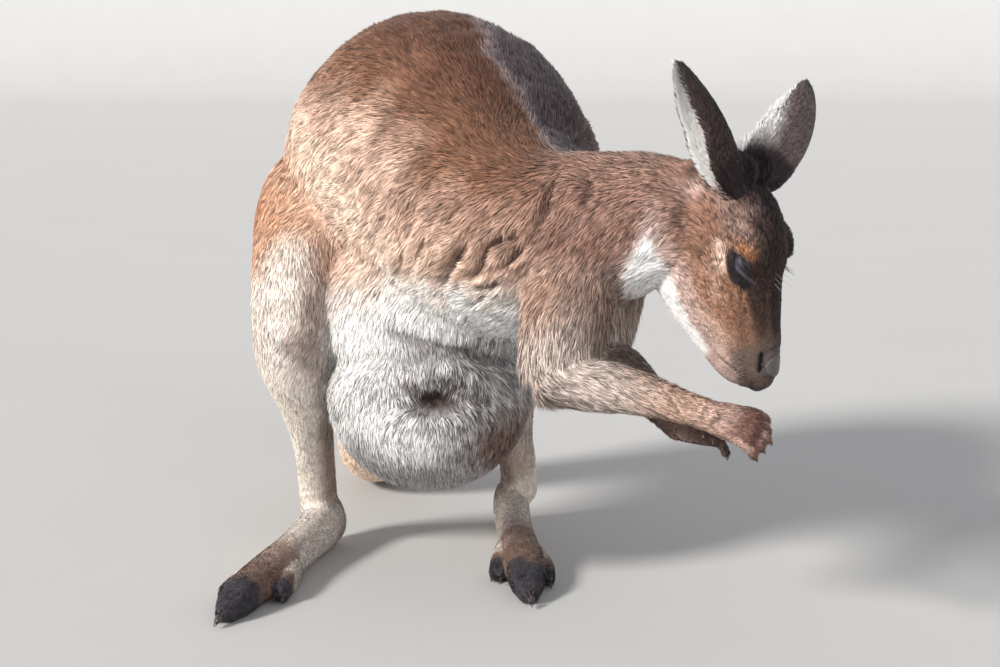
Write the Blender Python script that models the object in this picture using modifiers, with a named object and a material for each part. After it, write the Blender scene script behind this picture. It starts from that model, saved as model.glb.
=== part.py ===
"""Grown female kangaroo, life size, standing bent on flat hind feet with the head down over the hands.

Metres, +Z up. The pelvis and the pouch face -Y, the animal's left is +X, and the trunk curves
round to the animal's left. The flesh is shaped whole, then parted at the joints.
"""

import math

import bmesh
import bpy
import numpy as np
from mathutils import Matrix, Vector
from mathutils.bvhtree import BVHTree

# ---------------------------------------------------------------- measures
PARTING = 0.0004  # gap left between two parts of the flesh
CLEARANCE = 0.0004  # gap round an eye, a claw or an ear
RINGS_PER_SPAN = 5
RING_POINTS = 28
VOXEL = 0.0022
BLEND_ALL = 3  # smoothing passes over all of the flesh
BLEND_BODY = 40  # and over all but the face, hands and toes
FLESH_TRIANGLES = 2050
FACET_BIAS = 0.0015  # how strongly face, hands and toes keep their facets

GROUND_BLOCK = (2.0, 3.0, 0.1)
GROUND_MIDDLE = (0.0, 0.4, -0.05)
SPECK = 0.015  # a body smaller than this is a crumb of a cut

# Trunk: centre, half width, height above and depth below the centre, lean of the back to the left
# in degrees.
TRUNK = (
    ((-0.095, 0.262, 0.300), 0.060, 0.060, 0.060, 0),
    ((-0.100, 0.220, 0.355), 0.104, 0.100, 0.100, 0),
    ((-0.098, 0.160, 0.405), 0.138, 0.144, 0.125, 6),
    ((-0.083, 0.094, 0.435), 0.155, 0.166, 0.145, 14),
    ((-0.056, 0.028, 0.430), 0.158, 0.164, 0.145, 21),
    ((-0.023, -0.044, 0.415), 0.146, 0.137, 0.140, 21),
    ((0.010, -0.116, 0.400), 0.121, 0.102, 0.120, 14),
    ((0.050, -0.175, 0.398), 0.098, 0.078, 0.100, 6),
    ((0.095, -0.215, 0.408), 0.076, 0.067, 0.080, 4),
    ((0.138, -0.243, 0.414), 0.060, 0.063, 0.070, 0),
    ((0.180, -0.262, 0.408), 0.046, 0.058, 0.054, 0),
)
BELLY_CENTRE = (-0.076, -0.028, 0.298)
BELLY_HALF = (0.117, 0.116, 0.108)
POUCH_CENTRE = (-0.074, -0.058, 0.208)
POUCH_HALF = (0.106, 0.098, 0.098)

# Tail: centre and radius, from the rump to the tip.
TAIL = (
    ((-0.095, 0.205, 0.330), 0.085),
    ((-0.106, 0.248, 0.252), 0.066),
    ((-0.127, 0.267, 0.172), 0.057),
    ((-0.146, 0.290, 0.108), 0.0515),
    ((-0.156, 0.336, 0.064), 0.0480),
    ((-0.160, 0.410, 0.0450), 0.0435),
    ((-0.161, 0.510, 0.0365), 0.0365),
    ((-0.160, 0.600, 0.0295), 0.0300),
    ((-0.156, 0.695, 0.0235), 0.0240),
    ((-0.142, 0.805, 0.0175), 0.0180),
    ((-0.118, 0.915, 0.0105), 0.0110),
)

# Thigh, from the hip to the knee: share of the way, rise above the straight line, half width, half height.
THIGH = (
    (0.00, 0.000, 0.052, 0.070),
    (0.19, 0.034, 0.088, 0.108),
    (0.45, 0.040, 0.091, 0.118),
    (0.68, 0.026, 0.072, 0.098),
    (0.89, 0.012, 0.052, 0.074),
    (1.00, 0.000, 0.038, 0.048),
)
THIGH_TOP = {"r": (-0.153, 0.232, 0.335), "l": (-0.045, 0.245, 0.335)}
# Right shank; the left one is its mirror image, carried to the left heel and turned.
SHANK = (
    ((-0.213, -0.066, 0.300), 0.043, 0.046),
    ((-0.215, -0.042, 0.250), 0.041, 0.048),
    ((-0.208, -0.003, 0.190), 0.029, 0.038),
    ((-0.205, 0.042, 0.130), 0.0220, 0.027),
    ((-0.206, 0.078, 0.085), 0.0215, 0.026),
    ((-0.206, 0.096, 0.048), 0.0215, 0.027),
)
KNEE = (-0.215, -0.076, 0.288)
HEEL = {"r": (-0.193, 0.105), "l": (0.011, 0.178)}
HEADING = {"r": -16.0, "l": 3.4}  # degrees of the toes to the animal's left
LEFT_KNEE_OUT = 9.0  # degrees of the left leg, over its foot

# Foot, along the sole from the heel: distance, outward offset, half width, middle height, half height.
FOOT = (
    (-0.008, 0.000, 0.0150, 0.020, 0.019),
    (0.018, 0.000, 0.0200, 0.031, 0.031),
    (0.060, 0.000, 0.0205, 0.027, 0.027),
    (0.110, 0.000, 0.0195, 0.023, 0.0235),
    (0.160, 0.001, 0.0210, 0.020, 0.0215),
    (0.200, 0.002, 0.0220, 0.018, 0.0200),
    (0.238, 0.002, 0.0205, 0.017, 0.0185),
    (0.268, 0.002, 0.0180, 0.0145, 0.0160),
    (0.292, 0.002, 0.0110, 0.010, 0.0110),
)
FIFTH_TOE = (
    (0.170, 0.016, 0.0110, 0.014, 0.0150),
    (0.210, 0.024, 0.0105, 0.012, 0.0130),
    (0.238, 0.026, 0.0080, 0.011, 0.0110),
)
JOINED_TOES = (
    (0.150, -0.014, 0.0110, 0.015, 0.0160),
    (0.190, -0.022, 0.0105, 0.013, 0.0140),
    (0.218, -0.027, 0.0090, 0.012, 0.0120),
)
# Claws of the foot: root, tip (along, outward, height) and root radius.
FOOT_CLAWS = {
    "fourth": ((0.270, 0.002, 0.012), (0.318, 0.003, 0.0035), 0.0082),
    "fifth": ((0.232, 0.026, 0.011), (0.256, 0.028, 0.0035), 0.0048),
    "third": ((0.212, -0.0225, 0.012), (0.236, -0.0245, 0.0040), 0.0034),
    "second": ((0.210, -0.0315, 0.012), (0.233, -0.0340, 0.0040), 0.0034),
}

CLAW_PROFILE = ((0.0, 1.0), (0.35, 0.95), (0.7, 0.60), (0.95, 0.17))  # share of the way, of the radius
CLAW_HOOK = 0.10
CLAW_SIDES = 7

# Arms: shoulder, elbow and wrist, with half widths.
ARMS = {
    "r": dict(
        upper=(
            ((0.078, -0.215, 0.410), 0.050, 0.050),
            ((0.070, -0.245, 0.365), 0.046, 0.040),
            ((0.059, -0.268, 0.318), 0.042, 0.036),
            ((0.048, -0.284, 0.280), 0.034, 0.031),
        ),
        fore=(
            ((0.044, -0.286, 0.276), 0.031, 0.027),
            ((0.085, -0.298, 0.270), 0.029, 0.026),
            ((0.128, -0.314, 0.264), 0.022, 0.020),
            ((0.165, -0.327, 0.255), 0.0170, 0.0155),
            ((0.192, -0.337, 0.2475), 0.0170, 0.0140),
        ),
        forward=(0.93, -0.25, -0.24),
        back=(0.05, -0.68, 0.73),
        thumb=1,
    ),
    "l": dict(
        upper=(
            ((0.108, -0.148, 0.405), 0.046, 0.048),
            ((0.110, -0.138, 0.360), 0.040, 0.038),
            ((0.106, -0.138, 0.312), 0.034, 0.034),
            ((0.100, -0.143, 0.275), 0.030, 0.030),
        ),
        fore=(
            ((0.098, -0.141, 0.272), 0.028, 0.026),
            ((0.118, -0.176, 0.260), 0.025, 0.024),
            ((0.140, -0.218, 0.244), 0.0200, 0.0190),
            ((0.157, -0.250, 0.232), 0.0165, 0.0155),
            ((0.169, -0.273, 0.224), 0.0165, 0.0140),
        ),
        forward=(0.70, -0.70, 0.02),
        back=(0.40, 0.46, 0.79),
        thumb=-1,
    ),
}
PALM_LENGTH = 0.034
# Palm, from the wrist: distance, half width, half thickness.
PALM = ((-0.006, 0.0150, 0.0125), (0.012, 0.0190, 0.0125), (PALM_LENGTH, 0.0215, 0.0110))
FINGERS = 5
FINGER_LENGTH = 0.025
FINGER_RADIUS = 0.0050
FINGER_PITCH = 0.0084  # from one finger's root to the next
FINGER_SINK = 0.004  # of the roots into the palm
OUTER_STEP = 0.0035  # each finger's root lies this much behind the middle one's, for each place
FAN = 0.10  # outward slope of the fingers, for each place from the middle
CURL = ((4, 0.34), (26, 0.33), (46, 0.28))  # bend in degrees and share of the finger's length
CLAW_CURL = 58
CLAW_LENGTH = 0.0095
CLAW_RADIUS = 0.0024

# Parting: how far the bounds of each part run round it.
LEG_INSIDE = {"thigh": (0.90, 0.90, 0.88, 0.88, 0.92, 0.98), "shank": (1.0, 1.12, 1.35, 1.8, 1.8)}
LEG_OUTSIDE = {"thigh": 0.06, "shank": 0.05}
LEG_ABOVE = {"thigh": 0.018, "shank": 0.020}
LEG_BEYOND = {"thigh": 0.6, "shank": 0.1}
# Elbow: way out of the body, a point of the bend, way down the forearm.
ELBOWS = {
    "r": ((-0.25, -0.95, 0.0), (0.070, -0.290, 0.285), (0.64, -0.05, -0.77)),
    "l": ((0.75, 0.55, 0.0), (0.106, -0.152, 0.288), (0.30, -0.60, -0.74)),
}
SHOULDER_OUT = (0.020, 0.014, 0.006, 0.0)
POUCH_BOUNDS = ((-0.074, -0.058, 0.188), (0.155, 0.150, 0.104))
# Blades: point, normal, radius.
TAIL_BLADES = {
    "tail_root": ((-0.110, 0.262, 0.222), (-0.20, 0.35, -0.91), 0.085),
    "tail_middle": ((-0.158, 0.480, 0.038), (0, 1, 0), 0.070),
    "tail_end": ((-0.150, 0.725, 0.022), (0.1, 1, 0), 0.050),
}
NECK_BLADE = ((0.088, -0.208, 0.408), (0.80, -0.55, 0.12), 0.105)
HEAD_BLADE = ((0.022, -0.035, 0.0), (0.95, -0.25, -0.40), 0.085)  # the point in the head's own frame
WRIST_RADIUS = 0.026

# Head: its own frame runs from the back of the skull to the nose.
HEAD_AT = Vector((0.1970, -0.265, 0.4445))
NOSEWARD = Vector((0.301, -0.161, -0.940)).normalized()
# Distance to the nose, half width, upper and lower outline, against that axis.
HEAD = (
    (-0.016, 0.026, 0.024, -0.036),
    (0.000, 0.042, 0.043, -0.064),
    (0.028, 0.048, 0.052, -0.080),
    (0.058, 0.046, 0.049, -0.084),
    (0.085, 0.042, 0.038, -0.080),
    (0.110, 0.035, 0.029, -0.071),
    (0.135, 0.026, 0.021, -0.061),
    (0.158, 0.0215, 0.0145, -0.050),
    (0.176, 0.0185, 0.0070, -0.041),
    (0.186, 0.0125, -0.001, -0.034),
)
BROW = (0.060, 0.030, 0.034)  # along, up, sideways
BROW_HALF = (0.022, 0.016, 0.009)
EYE = (0.072, 0.019, 0.0315)
EYE_RADIUS = 0.0108
EAR_ROOT = (0.004, 0.034, 0.031)
EAR_TIPS = {"r": (-0.1120, 0.0350, 0.074), "l": (-0.0760, 0.0640, 0.122)}
EAR_MOUTH = {"r": Vector((-0.87, -0.50, 0.0)), "l": Vector((-0.89, -0.46, 0.0))}
EAR_SHIFT = {"r": 0.009, "l": 0.014}  # of the cup towards its mouth
EAR_FULLNESS = {"r": 0.8, "l": 0.62}  # lower is broader towards the tip
EAR_WALL = 0.0032
EAR_WIDTH = {"r": 0.0185, "l": 0.0245}  # half the gap between the margins
EAR_DEPTH = {"r": 0.0230, "l": 0.0365}  # from the middle of the cup to its back


# ---------------------------------------------------------------- shapes
def smooth_path(values, per_span):
    """Rows of numbers joined by a Catmull-Rom curve."""
    values = np.asarray(values, float)
    padded = np.vstack([2 * values[0] - values[1], values, 2 * values[-1] - values[-2]])
    rows = []
    for i in range(1, len(padded) - 2):
        a, b, c, d = padded[i - 1 : i + 3]
        for step in range(per_span):
            t = step / per_span
            bend = (2 * a - 5 * b + 4 * c - d) * t * t + (3 * b - 3 * c + d - a) * t**3
            rows.append(0.5 * (2 * b + (c - a) * t + bend))
    rows.append(values[-1])
    return np.array(rows)


def add_rings(bm, rings):
    """One closed skin through the rings, each end closed on its middle."""
    rows = [[bm.verts.new(p) for p in ring] for ring in rings]
    count = len(rows[0])
    for low, high in zip(rows, rows[1:]):
        for k in range(count):
            bm.faces.new((low[k], low[(k + 1) % count], high[(k + 1) % count], high[k]))
    for row, turned in ((rows[0], True), (rows[-1], False)):
        middle = bm.verts.new(sum((v.co for v in row), Vector()) / count)
        for k in range(count):
            ends = (row[k], row[(k + 1) % count], middle)
            bm.faces.new(ends[::-1] if turned else ends)


def add_loft(bm, stations, up=(0, 0, 1), dome=0.6, points=RING_POINTS, square=2.0, spans=RINGS_PER_SPAN):
    """Ovals along a path.

    Each station gives the centre, the half width, the half height, then the depth below the centre
    where that differs, and the lean of the top in degrees.
    """
    rows = []
    for centre, width, height, *rest in stations:
        depth = rest[0] if rest else height
        lean = math.radians(rest[1]) if len(rest) > 1 else 0.0
        rows.append((*centre, width, height, depth, lean))
    rows = smooth_path(rows, spans)
    up = Vector(up)
    rings = []
    last = len(rows) - 1
    for i, row in enumerate(rows):
        along = Vector(rows[min(i + 1, last)][:3] - rows[max(i - 1, 0)][:3]).normalized()
        side = along.cross(up).normalized()
        top = side.cross(along).normalized()
        turn = Matrix.Rotation(-row[6], 3, along)
        side, top = turn @ side, turn @ top
        ends = [(1.0, 0.0)]
        reach = dome * min(row[3], row[4])
        if i == 0:
            ends = [(math.sin(a), -math.cos(a)) for a in (0.35, 0.8, 1.2)] + ends
        if i == last:
            ends = ends + [(math.sin(a), math.cos(a)) for a in (1.2, 0.8, 0.35)]
        for scale, forth in ends:
            ring = []
            for k in range(points):
                angle = 2 * math.pi * k / points
                c, s = math.cos(angle), math.sin(angle)
                c = math.copysign(abs(c) ** (2 / square), c)
                s = math.copysign(abs(s) ** (2 / square), s)
                tall = row[4] if s > 0 else row[5]
                centre = Vector(row[:3]) + along * (forth * reach)
                ring.append(centre + side * (c * row[3] * scale) + top * (s * tall * scale))
            rings.append(ring)
    add_rings(bm, rings)


def add_blob(bm, centre, half, frame=None, segments=28):
    """An ellipsoid, its half sizes along the columns of the frame."""
    frame = frame or Matrix.Identity(3)
    size = Matrix.Diagonal((*half, 1.0))
    place = Matrix.Translation(centre) @ frame.to_4x4() @ size
    rows = segments * 2 // 3
    bmesh.ops.create_uvsphere(bm, u_segments=segments, v_segments=rows, radius=1.0, matrix=place)


def object_of(name, bm, collection):
    bmesh.ops.recalc_face_normals(bm, faces=bm.faces)
    mesh = bpy.data.meshes.new(name)
    bm.to_mesh(mesh)
    bm.free()
    obj = bpy.data.objects.new(name, mesh)
    collection.objects.link(obj)
    return obj


def settle(obj):
    """Applies the modifiers, so that the next step works on the shape they give."""
    graph = bpy.context.evaluated_depsgraph_get()
    mesh = bpy.data.meshes.new_from_object(obj.evaluated_get(graph))
    obj.modifiers.clear()
    old = obj.data
    obj.data = mesh
    mesh.name = obj.name
    bpy.data.meshes.remove(old)


def subtract(obj, cutter):
    cut = obj.modifiers.new("cut", "BOOLEAN")
    cut.operation = "DIFFERENCE"
    cut.solver = "EXACT"
    cut.object = cutter
    settle(obj)


def keep_common(obj, other):
    cut = obj.modifiers.new("common", "BOOLEAN")
    cut.operation = "INTERSECT"
    cut.solver = "EXACT"
    cut.object = other
    settle(obj)


def copy_of(obj, name, collection):
    twin = bpy.data.objects.new(name, obj.data.copy())
    collection.objects.link(twin)
    return twin


def fatten(obj, amount):
    bm = bmesh.new()
    bm.from_mesh(obj.data)
    bm.normal_update()
    moved = [v.co + v.normal * amount for v in bm.verts]
    for v, place in zip(bm.verts, moved):
        v.co = place
    bm.to_mesh(obj.data)
    bm.free()


def place_of(frame, origin, local):
    return origin + frame @ Vector(local)


# ---------------------------------------------------------------- scene
for old in list(bpy.data.objects):
    bpy.data.objects.remove(old, do_unlink=True)
BODY = bpy.data.collections.new("kangaroo")
CUTTERS = bpy.data.collections.new("cutters")
bpy.context.scene.collection.children.link(BODY)
bpy.context.scene.collection.children.link(CUTTERS)
CUTTERS.hide_render = True


def material(name, colour, roughness, metallic=0.0):
    made = bpy.data.materials.new(name)
    made.use_nodes = True
    shader = made.node_tree.nodes["Principled BSDF"]
    shader.inputs["Base Color"].default_value = (*colour, 1.0)
    shader.inputs["Roughness"].default_value = roughness
    shader.inputs["Metallic"].default_value = metallic
    made.diffuse_color = (*colour, 1.0)
    return made


COLOURS = {
    "head": (0.200, 0.118, 0.072),
    "neck": (0.262, 0.150, 0.088),
    "trunk": (0.262, 0.146, 0.086),
    "pouch": (0.520, 0.480, 0.440),
    "tail": (0.330, 0.165, 0.075),
    "ear": (0.082, 0.066, 0.060),
    "eye": (0.012, 0.010, 0.010),
    "upper_arm": (0.270, 0.190, 0.138),
    "forearm": (0.330, 0.165, 0.092),
    "hand": (0.130, 0.058, 0.036),
    "thigh": (0.350, 0.205, 0.120),
    "shank": (0.600, 0.500, 0.400),
    "foot": (0.380, 0.270, 0.180),
    "claw": (0.045, 0.045, 0.050),
}


def finish(obj, kind):
    obj.data.materials.clear()
    roughness = {"eye": 0.08, "claw": 0.35}.get(kind, 0.85)
    obj.data.materials.append(material(obj.name, COLOURS[kind], roughness))


# ---------------------------------------------------------------- frames of head, feet and hands
LEFTWARD = Vector((0.827, -0.442, 0.342)).cross(NOSEWARD).normalized()
CROWNWARD = NOSEWARD.cross(LEFTWARD).normalized()
HEAD_FRAME = Matrix((NOSEWARD, CROWNWARD, LEFTWARD)).transposed()
SIDES = {"r": -1, "l": 1}


def head_point(along, up, sideways, side=1):
    return place_of(HEAD_FRAME, HEAD_AT, (along, up, sideways * side))


def foot_point(side, along, outward, height):
    """A point of the foot, measured along the sole from the heel."""
    turn = math.radians(HEADING[side])
    forth = Vector((math.sin(turn), -math.cos(turn), 0.0))
    out = Vector((math.cos(turn), math.sin(turn), 0.0)) * SIDES[side]
    heel = Vector((*HEEL[side], 0.0))
    return heel + forth * along + out * outward + Vector((0, 0, height))


def leg_point(side, place):
    """A point of the right leg as it is, or carried to the left leg."""
    place = Vector(place)
    if side == "r":
        return place
    foot = Vector((*HEEL["r"], 0.0))
    local = Matrix.Rotation(-math.radians(HEADING["r"]), 3, "Z") @ (place - foot)
    local.x = -local.x
    return Vector((*HEEL["l"], 0.0)) + Matrix.Rotation(math.radians(LEFT_KNEE_OUT), 3, "Z") @ local


def thigh_rows(side):
    top, knee = Vector(THIGH_TOP[side]), leg_point(side, KNEE)
    rise = Vector((0, 0, 1))
    return [(top.lerp(knee, t) + rise * lift, width, height) for t, lift, width, height in THIGH]


# ---------------------------------------------------------------- flesh, whole
bm = bmesh.new()
add_loft(bm, TRUNK)
add_blob(bm, BELLY_CENTRE, BELLY_HALF)
add_blob(bm, POUCH_CENTRE, POUCH_HALF)
add_loft(bm, [(c, r, r) for c, r in TAIL], up=(0, 0.3, 1))

for side in ("r", "l"):
    add_loft(bm, thigh_rows(side))
    add_loft(bm, [(leg_point(side, c), w, h) for c, w, h in SHANK], up=(0, -1, 0.4))
    for toes in (FOOT, FIFTH_TOE, JOINED_TOES):
        path = [(foot_point(side, a, o, z), w, h) for a, o, w, z, h in toes]
        add_loft(bm, path, square=2.5)

head_rows = []
for along, width, top, bottom in HEAD:
    middle = (top + bottom) / 2
    head_rows.append((head_point(along, middle, 0), width, (top - bottom) / 2))
add_loft(bm, head_rows, up=CROWNWARD, square=2.2)
for side in SIDES:
    add_blob(bm, head_point(*BROW, SIDES[side]), BROW_HALF, HEAD_FRAME)

CLAWS = {}
for side, arm in ARMS.items():
    add_loft(bm, arm["upper"], up=(0, -1, 0.2))
    add_loft(bm, arm["fore"])
    wrist = Vector(arm["fore"][-1][0])
    forward = Vector(arm["forward"]).normalized()
    across = forward.cross(Vector(arm["back"])).normalized()
    back = across.cross(forward).normalized()
    add_loft(bm, [(wrist + forward * reach, w, h) for reach, w, h in PALM], up=back)
    for number in range(FINGERS):
        offset = (number - FINGERS // 2) * arm["thumb"]
        heading = (forward + across * offset * FAN).normalized()
        place = wrist + forward * (PALM_LENGTH - FINGER_SINK - OUTER_STEP * abs(offset))
        place += across * offset * FINGER_PITCH
        path = [(place, FINGER_RADIUS, FINGER_RADIUS)]
        for curl, share in CURL:
            bend = math.radians(curl)
            place = place + (heading * math.cos(bend) - back * math.sin(bend)) * FINGER_LENGTH * share
            path.append((place, FINGER_RADIUS * 0.94, FINGER_RADIUS * 0.95))
        add_loft(bm, path, up=back, points=12, dome=0.9)
        bend = math.radians(CLAW_CURL)
        point = heading * math.cos(bend) - back * math.sin(bend)
        root = place - point * 0.002 + back * 0.001
        CLAWS[f"hand_{side}_claw_{number + 1}"] = (root, place + point * CLAW_LENGTH, CLAW_RADIUS, back)
flesh = object_of("flesh", bm, BODY)

remesh = flesh.modifiers.new("one skin", "REMESH")
remesh.mode = "VOXEL"
remesh.voxel_size = VOXEL
settle(flesh)

# Hands, face and toes keep their shape; the rest is blended more.
FINE = [(head_point(0.10, -0.02, 0), 0.115, 1.0)]
for side, arm in ARMS.items():
    FINE.append((foot_point(side, 0.22, 0, 0), 0.10, 0.9))
    FINE.append((Vector(arm["fore"][-1][0]) + Vector(arm["forward"]) * 0.03, 0.060, 1.0))


def fineness(points):
    """Nought over the body, one over the parts that carry small forms."""
    most = np.zeros(len(points))
    for centre, reach, weight in FINE:
        far = np.linalg.norm(points - np.array(centre), axis=1) / reach
        most = np.maximum(most, weight * np.clip(2.2 - 2.0 * far, 0, 1))
    return most


def points_of(mesh):
    found = np.empty(len(mesh.vertices) * 3)
    mesh.vertices.foreach_get("co", found)
    return found.reshape(-1, 3)


def weigh(obj, name, weights):
    group = obj.vertex_groups.new(name=name)
    levels = np.round(weights * 20).astype(int)
    for level in np.unique(levels):
        members = np.nonzero(levels == level)[0].tolist()
        group.add(members, float(level) / 20, "REPLACE")


fine = fineness(points_of(flesh.data))
weigh(flesh, "body", 1 - fine)
for name, group, repeat in (("all", "", BLEND_ALL), ("body", "body", BLEND_BODY)):
    blend = flesh.modifiers.new(name, "SMOOTH")
    blend.factor = 0.5
    blend.iterations = repeat
    blend.vertex_group = group
settle(flesh)

weigh(flesh, "coarse", 1 - 0.9 * fineness(points_of(flesh.data)))
thin = flesh.modifiers.new("facets", "DECIMATE")
thin.ratio = FLESH_TRIANGLES / (2 * len(flesh.data.polygons))
thin.vertex_group = "coarse"
thin.vertex_group_factor = FACET_BIAS
thin.use_collapse_triangulate = True
settle(flesh)

# The soles and the tail are flat where they bear on the ground.
ground = bmesh.new()
block = Matrix.Translation(GROUND_MIDDLE) @ Matrix.Diagonal((*GROUND_BLOCK, 1.0))
bmesh.ops.create_cube(ground, size=1.0, matrix=block)
subtract(flesh, object_of("cut_ground", ground, CUTTERS))


# ---------------------------------------------------------------- claws
def claw(name, root, tip, radius, up):
    """A horn cone, a little hooked."""
    along = tip - root
    side = along.cross(Vector(up)).normalized()
    top = side.cross(along).normalized()
    rings = []
    for t, share in CLAW_PROFILE:
        centre = root + along * t + top * (along.length * CLAW_HOOK * 4 * t * (1 - t))
        ring = []
        for k in range(CLAW_SIDES):
            angle = 2 * math.pi * k / CLAW_SIDES
            ring.append(centre + (side * math.cos(angle) + top * math.sin(angle)) * (radius * share))
        rings.append(ring)
    shape = bmesh.new()
    add_rings(shape, rings)
    return object_of(name, shape, BODY)


for side in SIDES:
    for toe, (root, tip, radius) in FOOT_CLAWS.items():
        CLAWS[f"foot_{side}_claw_{toe}"] = (
            foot_point(side, *root),
            foot_point(side, *tip),
            radius,
            (0, 0, 1),
        )
claws = [claw(name, *measures) for name, measures in CLAWS.items()]
for obj in claws:
    finish(obj, "claw")

# ---------------------------------------------------------------- eyes
eyes = []
for side in SIDES:
    shape = bmesh.new()
    place = Matrix.Translation(head_point(*EYE, SIDES[side]))
    bmesh.ops.create_uvsphere(shape, u_segments=12, v_segments=8, radius=EYE_RADIUS, matrix=place)
    eye = object_of(f"eye_{side}", shape, BODY)
    finish(eye, "eye")
    eyes.append(eye)

for obj in claws + eyes:
    hollow = copy_of(obj, f"cut_{obj.name}", CUTTERS)
    fatten(hollow, CLEARANCE)
    subtract(flesh, hollow)


# ---------------------------------------------------------------- ears
def ear(side):
    """A leaf-shaped cup with a wall of even thickness, its mouth to one side."""
    root = head_point(*EAR_ROOT, SIDES[side])
    tip = head_point(*EAR_TIPS[side], SIDES[side])
    along = (tip - root).normalized()
    mouth = EAR_MOUTH[side]
    mouth = (mouth - along * mouth.dot(along)).normalized()
    across = along.cross(mouth)
    length = (tip - root).length
    steps, wide = 10, 8
    shape = bmesh.new()
    rings = []
    for i in range(steps + 1):
        t = i / steps
        leaf = max(0.12, math.sin(math.pi * (0.14 + 0.83 * t) ** 1.05) ** EAR_FULLNESS[side])
        half = EAR_WIDTH[side] * leaf
        depth = EAR_DEPTH[side] * leaf
        reach = math.radians(128 - 40 * min(1.0, t / 0.5))
        centre = root + along * (length * t) + mouth * (EAR_SHIFT[side] * leaf)
        outer, inner = [], []
        for k in range(wide + 1):
            arc = reach * (-1 + 2 * k / wide)
            normal = (across * math.sin(arc) * depth - mouth * math.cos(arc) * half).normalized()
            point = centre + across * math.sin(arc) * half - mouth * math.cos(arc) * depth
            thick = EAR_WALL / 2 * (1 - 0.35 * t)
            outer.append(point + normal * thick)
            inner.append(point - normal * thick)
        rings.append(outer + inner[::-1])
    add_rings(shape, rings)
    return object_of(f"ear_{side}", shape, BODY)


for side in SIDES:
    made = ear(side)
    finish(made, "ear")
    hollow = copy_of(made, f"cut_{made.name}", CUTTERS)
    fatten(hollow, CLEARANCE)
    subtract(flesh, hollow)


# ---------------------------------------------------------------- parting the flesh
def disc(bm, centre, normal, radius):
    """A thin round blade across a limb."""
    normal = Vector(normal).normalized()
    turn = normal.to_track_quat("Z", "Y").to_matrix().to_4x4()
    place = Matrix.Translation(centre) @ turn
    bmesh.ops.create_cone(
        bm,
        cap_ends=True,
        segments=16,
        radius1=radius,
        radius2=radius,
        depth=PARTING,
        matrix=place,
    )


def take(name, volume):
    """The flesh inside the volume becomes a part of its own; the rest keeps clear of it."""
    piece = copy_of(flesh, name, BODY)
    piece.vertex_groups.clear()
    wider = copy_of(volume, f"cut_{name}", CUTTERS)
    fatten(wider, PARTING)
    subtract(flesh, wider)
    keep_common(piece, volume)
    return piece


def hull_of(shape):
    """The convex hull of a shape's points."""
    hull = bmesh.new()
    for v in shape.verts:
        hull.verts.new(v.co)
    shape.free()
    made = bmesh.ops.convex_hull(hull, input=hull.verts[:])
    inner = [g for g in made["geom_interior"] if isinstance(g, bmesh.types.BMVert)]
    bmesh.ops.delete(hull, geom=inner, context="VERTS")
    bmesh.ops.delete(hull, geom=[v for v in hull.verts if not v.link_faces], context="VERTS")
    return hull


def leg_volume(kind, side, rows, up):
    """Round the leg and clear of it outside; on the inside it runs where the leg meets the trunk."""
    outward = Vector((SIDES[side], 0, 0))
    bounds = []
    for (centre, width, height), share in zip(rows, LEG_INSIDE[kind]):
        inner, outer = width * share, width + LEG_OUTSIDE[kind]
        middle = centre + outward * ((outer - inner) / 2)
        bounds.append((middle, (outer + inner) / 2, height + LEG_ABOVE[kind]))
    last, before = bounds[-1], bounds[-2]
    bounds.append((last[0] + (last[0] - before[0]) * LEG_BEYOND[kind], last[1], last[2]))
    shape = bmesh.new()
    add_loft(shape, bounds, up=up, points=14, dome=0.35, spans=1)
    return object_of(f"cut_round_{kind}_{side}", hull_of(shape), CUTTERS)


def arm_volume(side, margin=0.009):
    """Round the upper arm, ended by the plane of the elbow."""
    outward, elbow, foreward = [Vector(value) for value in ELBOWS[side]]
    rows = []
    for (centre, width, height), shift in zip(ARMS[side]["upper"], SHOULDER_OUT):
        rows.append((Vector(centre) + outward.normalized() * shift, width + margin, height + margin))
    last, before = rows[-1], rows[-2]
    rows.append((last[0] + (last[0] - before[0]) * 1.3, last[1] * 1.1, last[2] * 1.1))
    shape = bmesh.new()
    add_loft(shape, rows, up=(0, -1, 0.2), points=14, dome=0.4, spans=1)
    shape = hull_of(shape)
    ends = shape.verts[:] + shape.edges[:] + shape.faces[:]
    cut = bmesh.ops.bisect_plane(shape, geom=ends, plane_co=elbow, plane_no=foreward, clear_outer=True)
    rim = [e for e in cut["geom_cut"] if isinstance(e, bmesh.types.BMEdge)]
    bmesh.ops.edgeloop_fill(shape, edges=rim)
    return object_of(f"cut_round_arm_{side}", shape, CUTTERS)


pieces = {}
for side in SIDES:
    pieces[f"thigh_{side}"] = take(
        f"thigh_{side}", leg_volume("thigh", side, thigh_rows(side), (0, 0, 1))
    )
    shank = [(leg_point(side, c), w, h) for c, w, h in SHANK[:-1]]
    pieces[f"shank_{side}"] = take(f"shank_{side}", leg_volume("shank", side, shank, (0, -1, 0.4)))
for side in SIDES:
    pieces[f"upper_arm_{side}"] = take(f"upper_arm_{side}", arm_volume(side))
shape = bmesh.new()
add_blob(shape, *POUCH_BOUNDS, segments=16)
pieces["pouch"] = take("pouch", object_of("cut_round_pouch", shape, CUTTERS))

point, normal, radius = HEAD_BLADE
blades = [(head_point(*point), normal, radius), NECK_BLADE, *TAIL_BLADES.values()]
for arm in ARMS.values():
    blades.append((arm["fore"][-1][0], arm["forward"], WRIST_RADIUS))
bm = bmesh.new()
for centre, normal, radius in blades:
    disc(bm, Vector(centre), normal, radius)
subtract(flesh, object_of("cut_blades", bm, CUTTERS))

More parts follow.
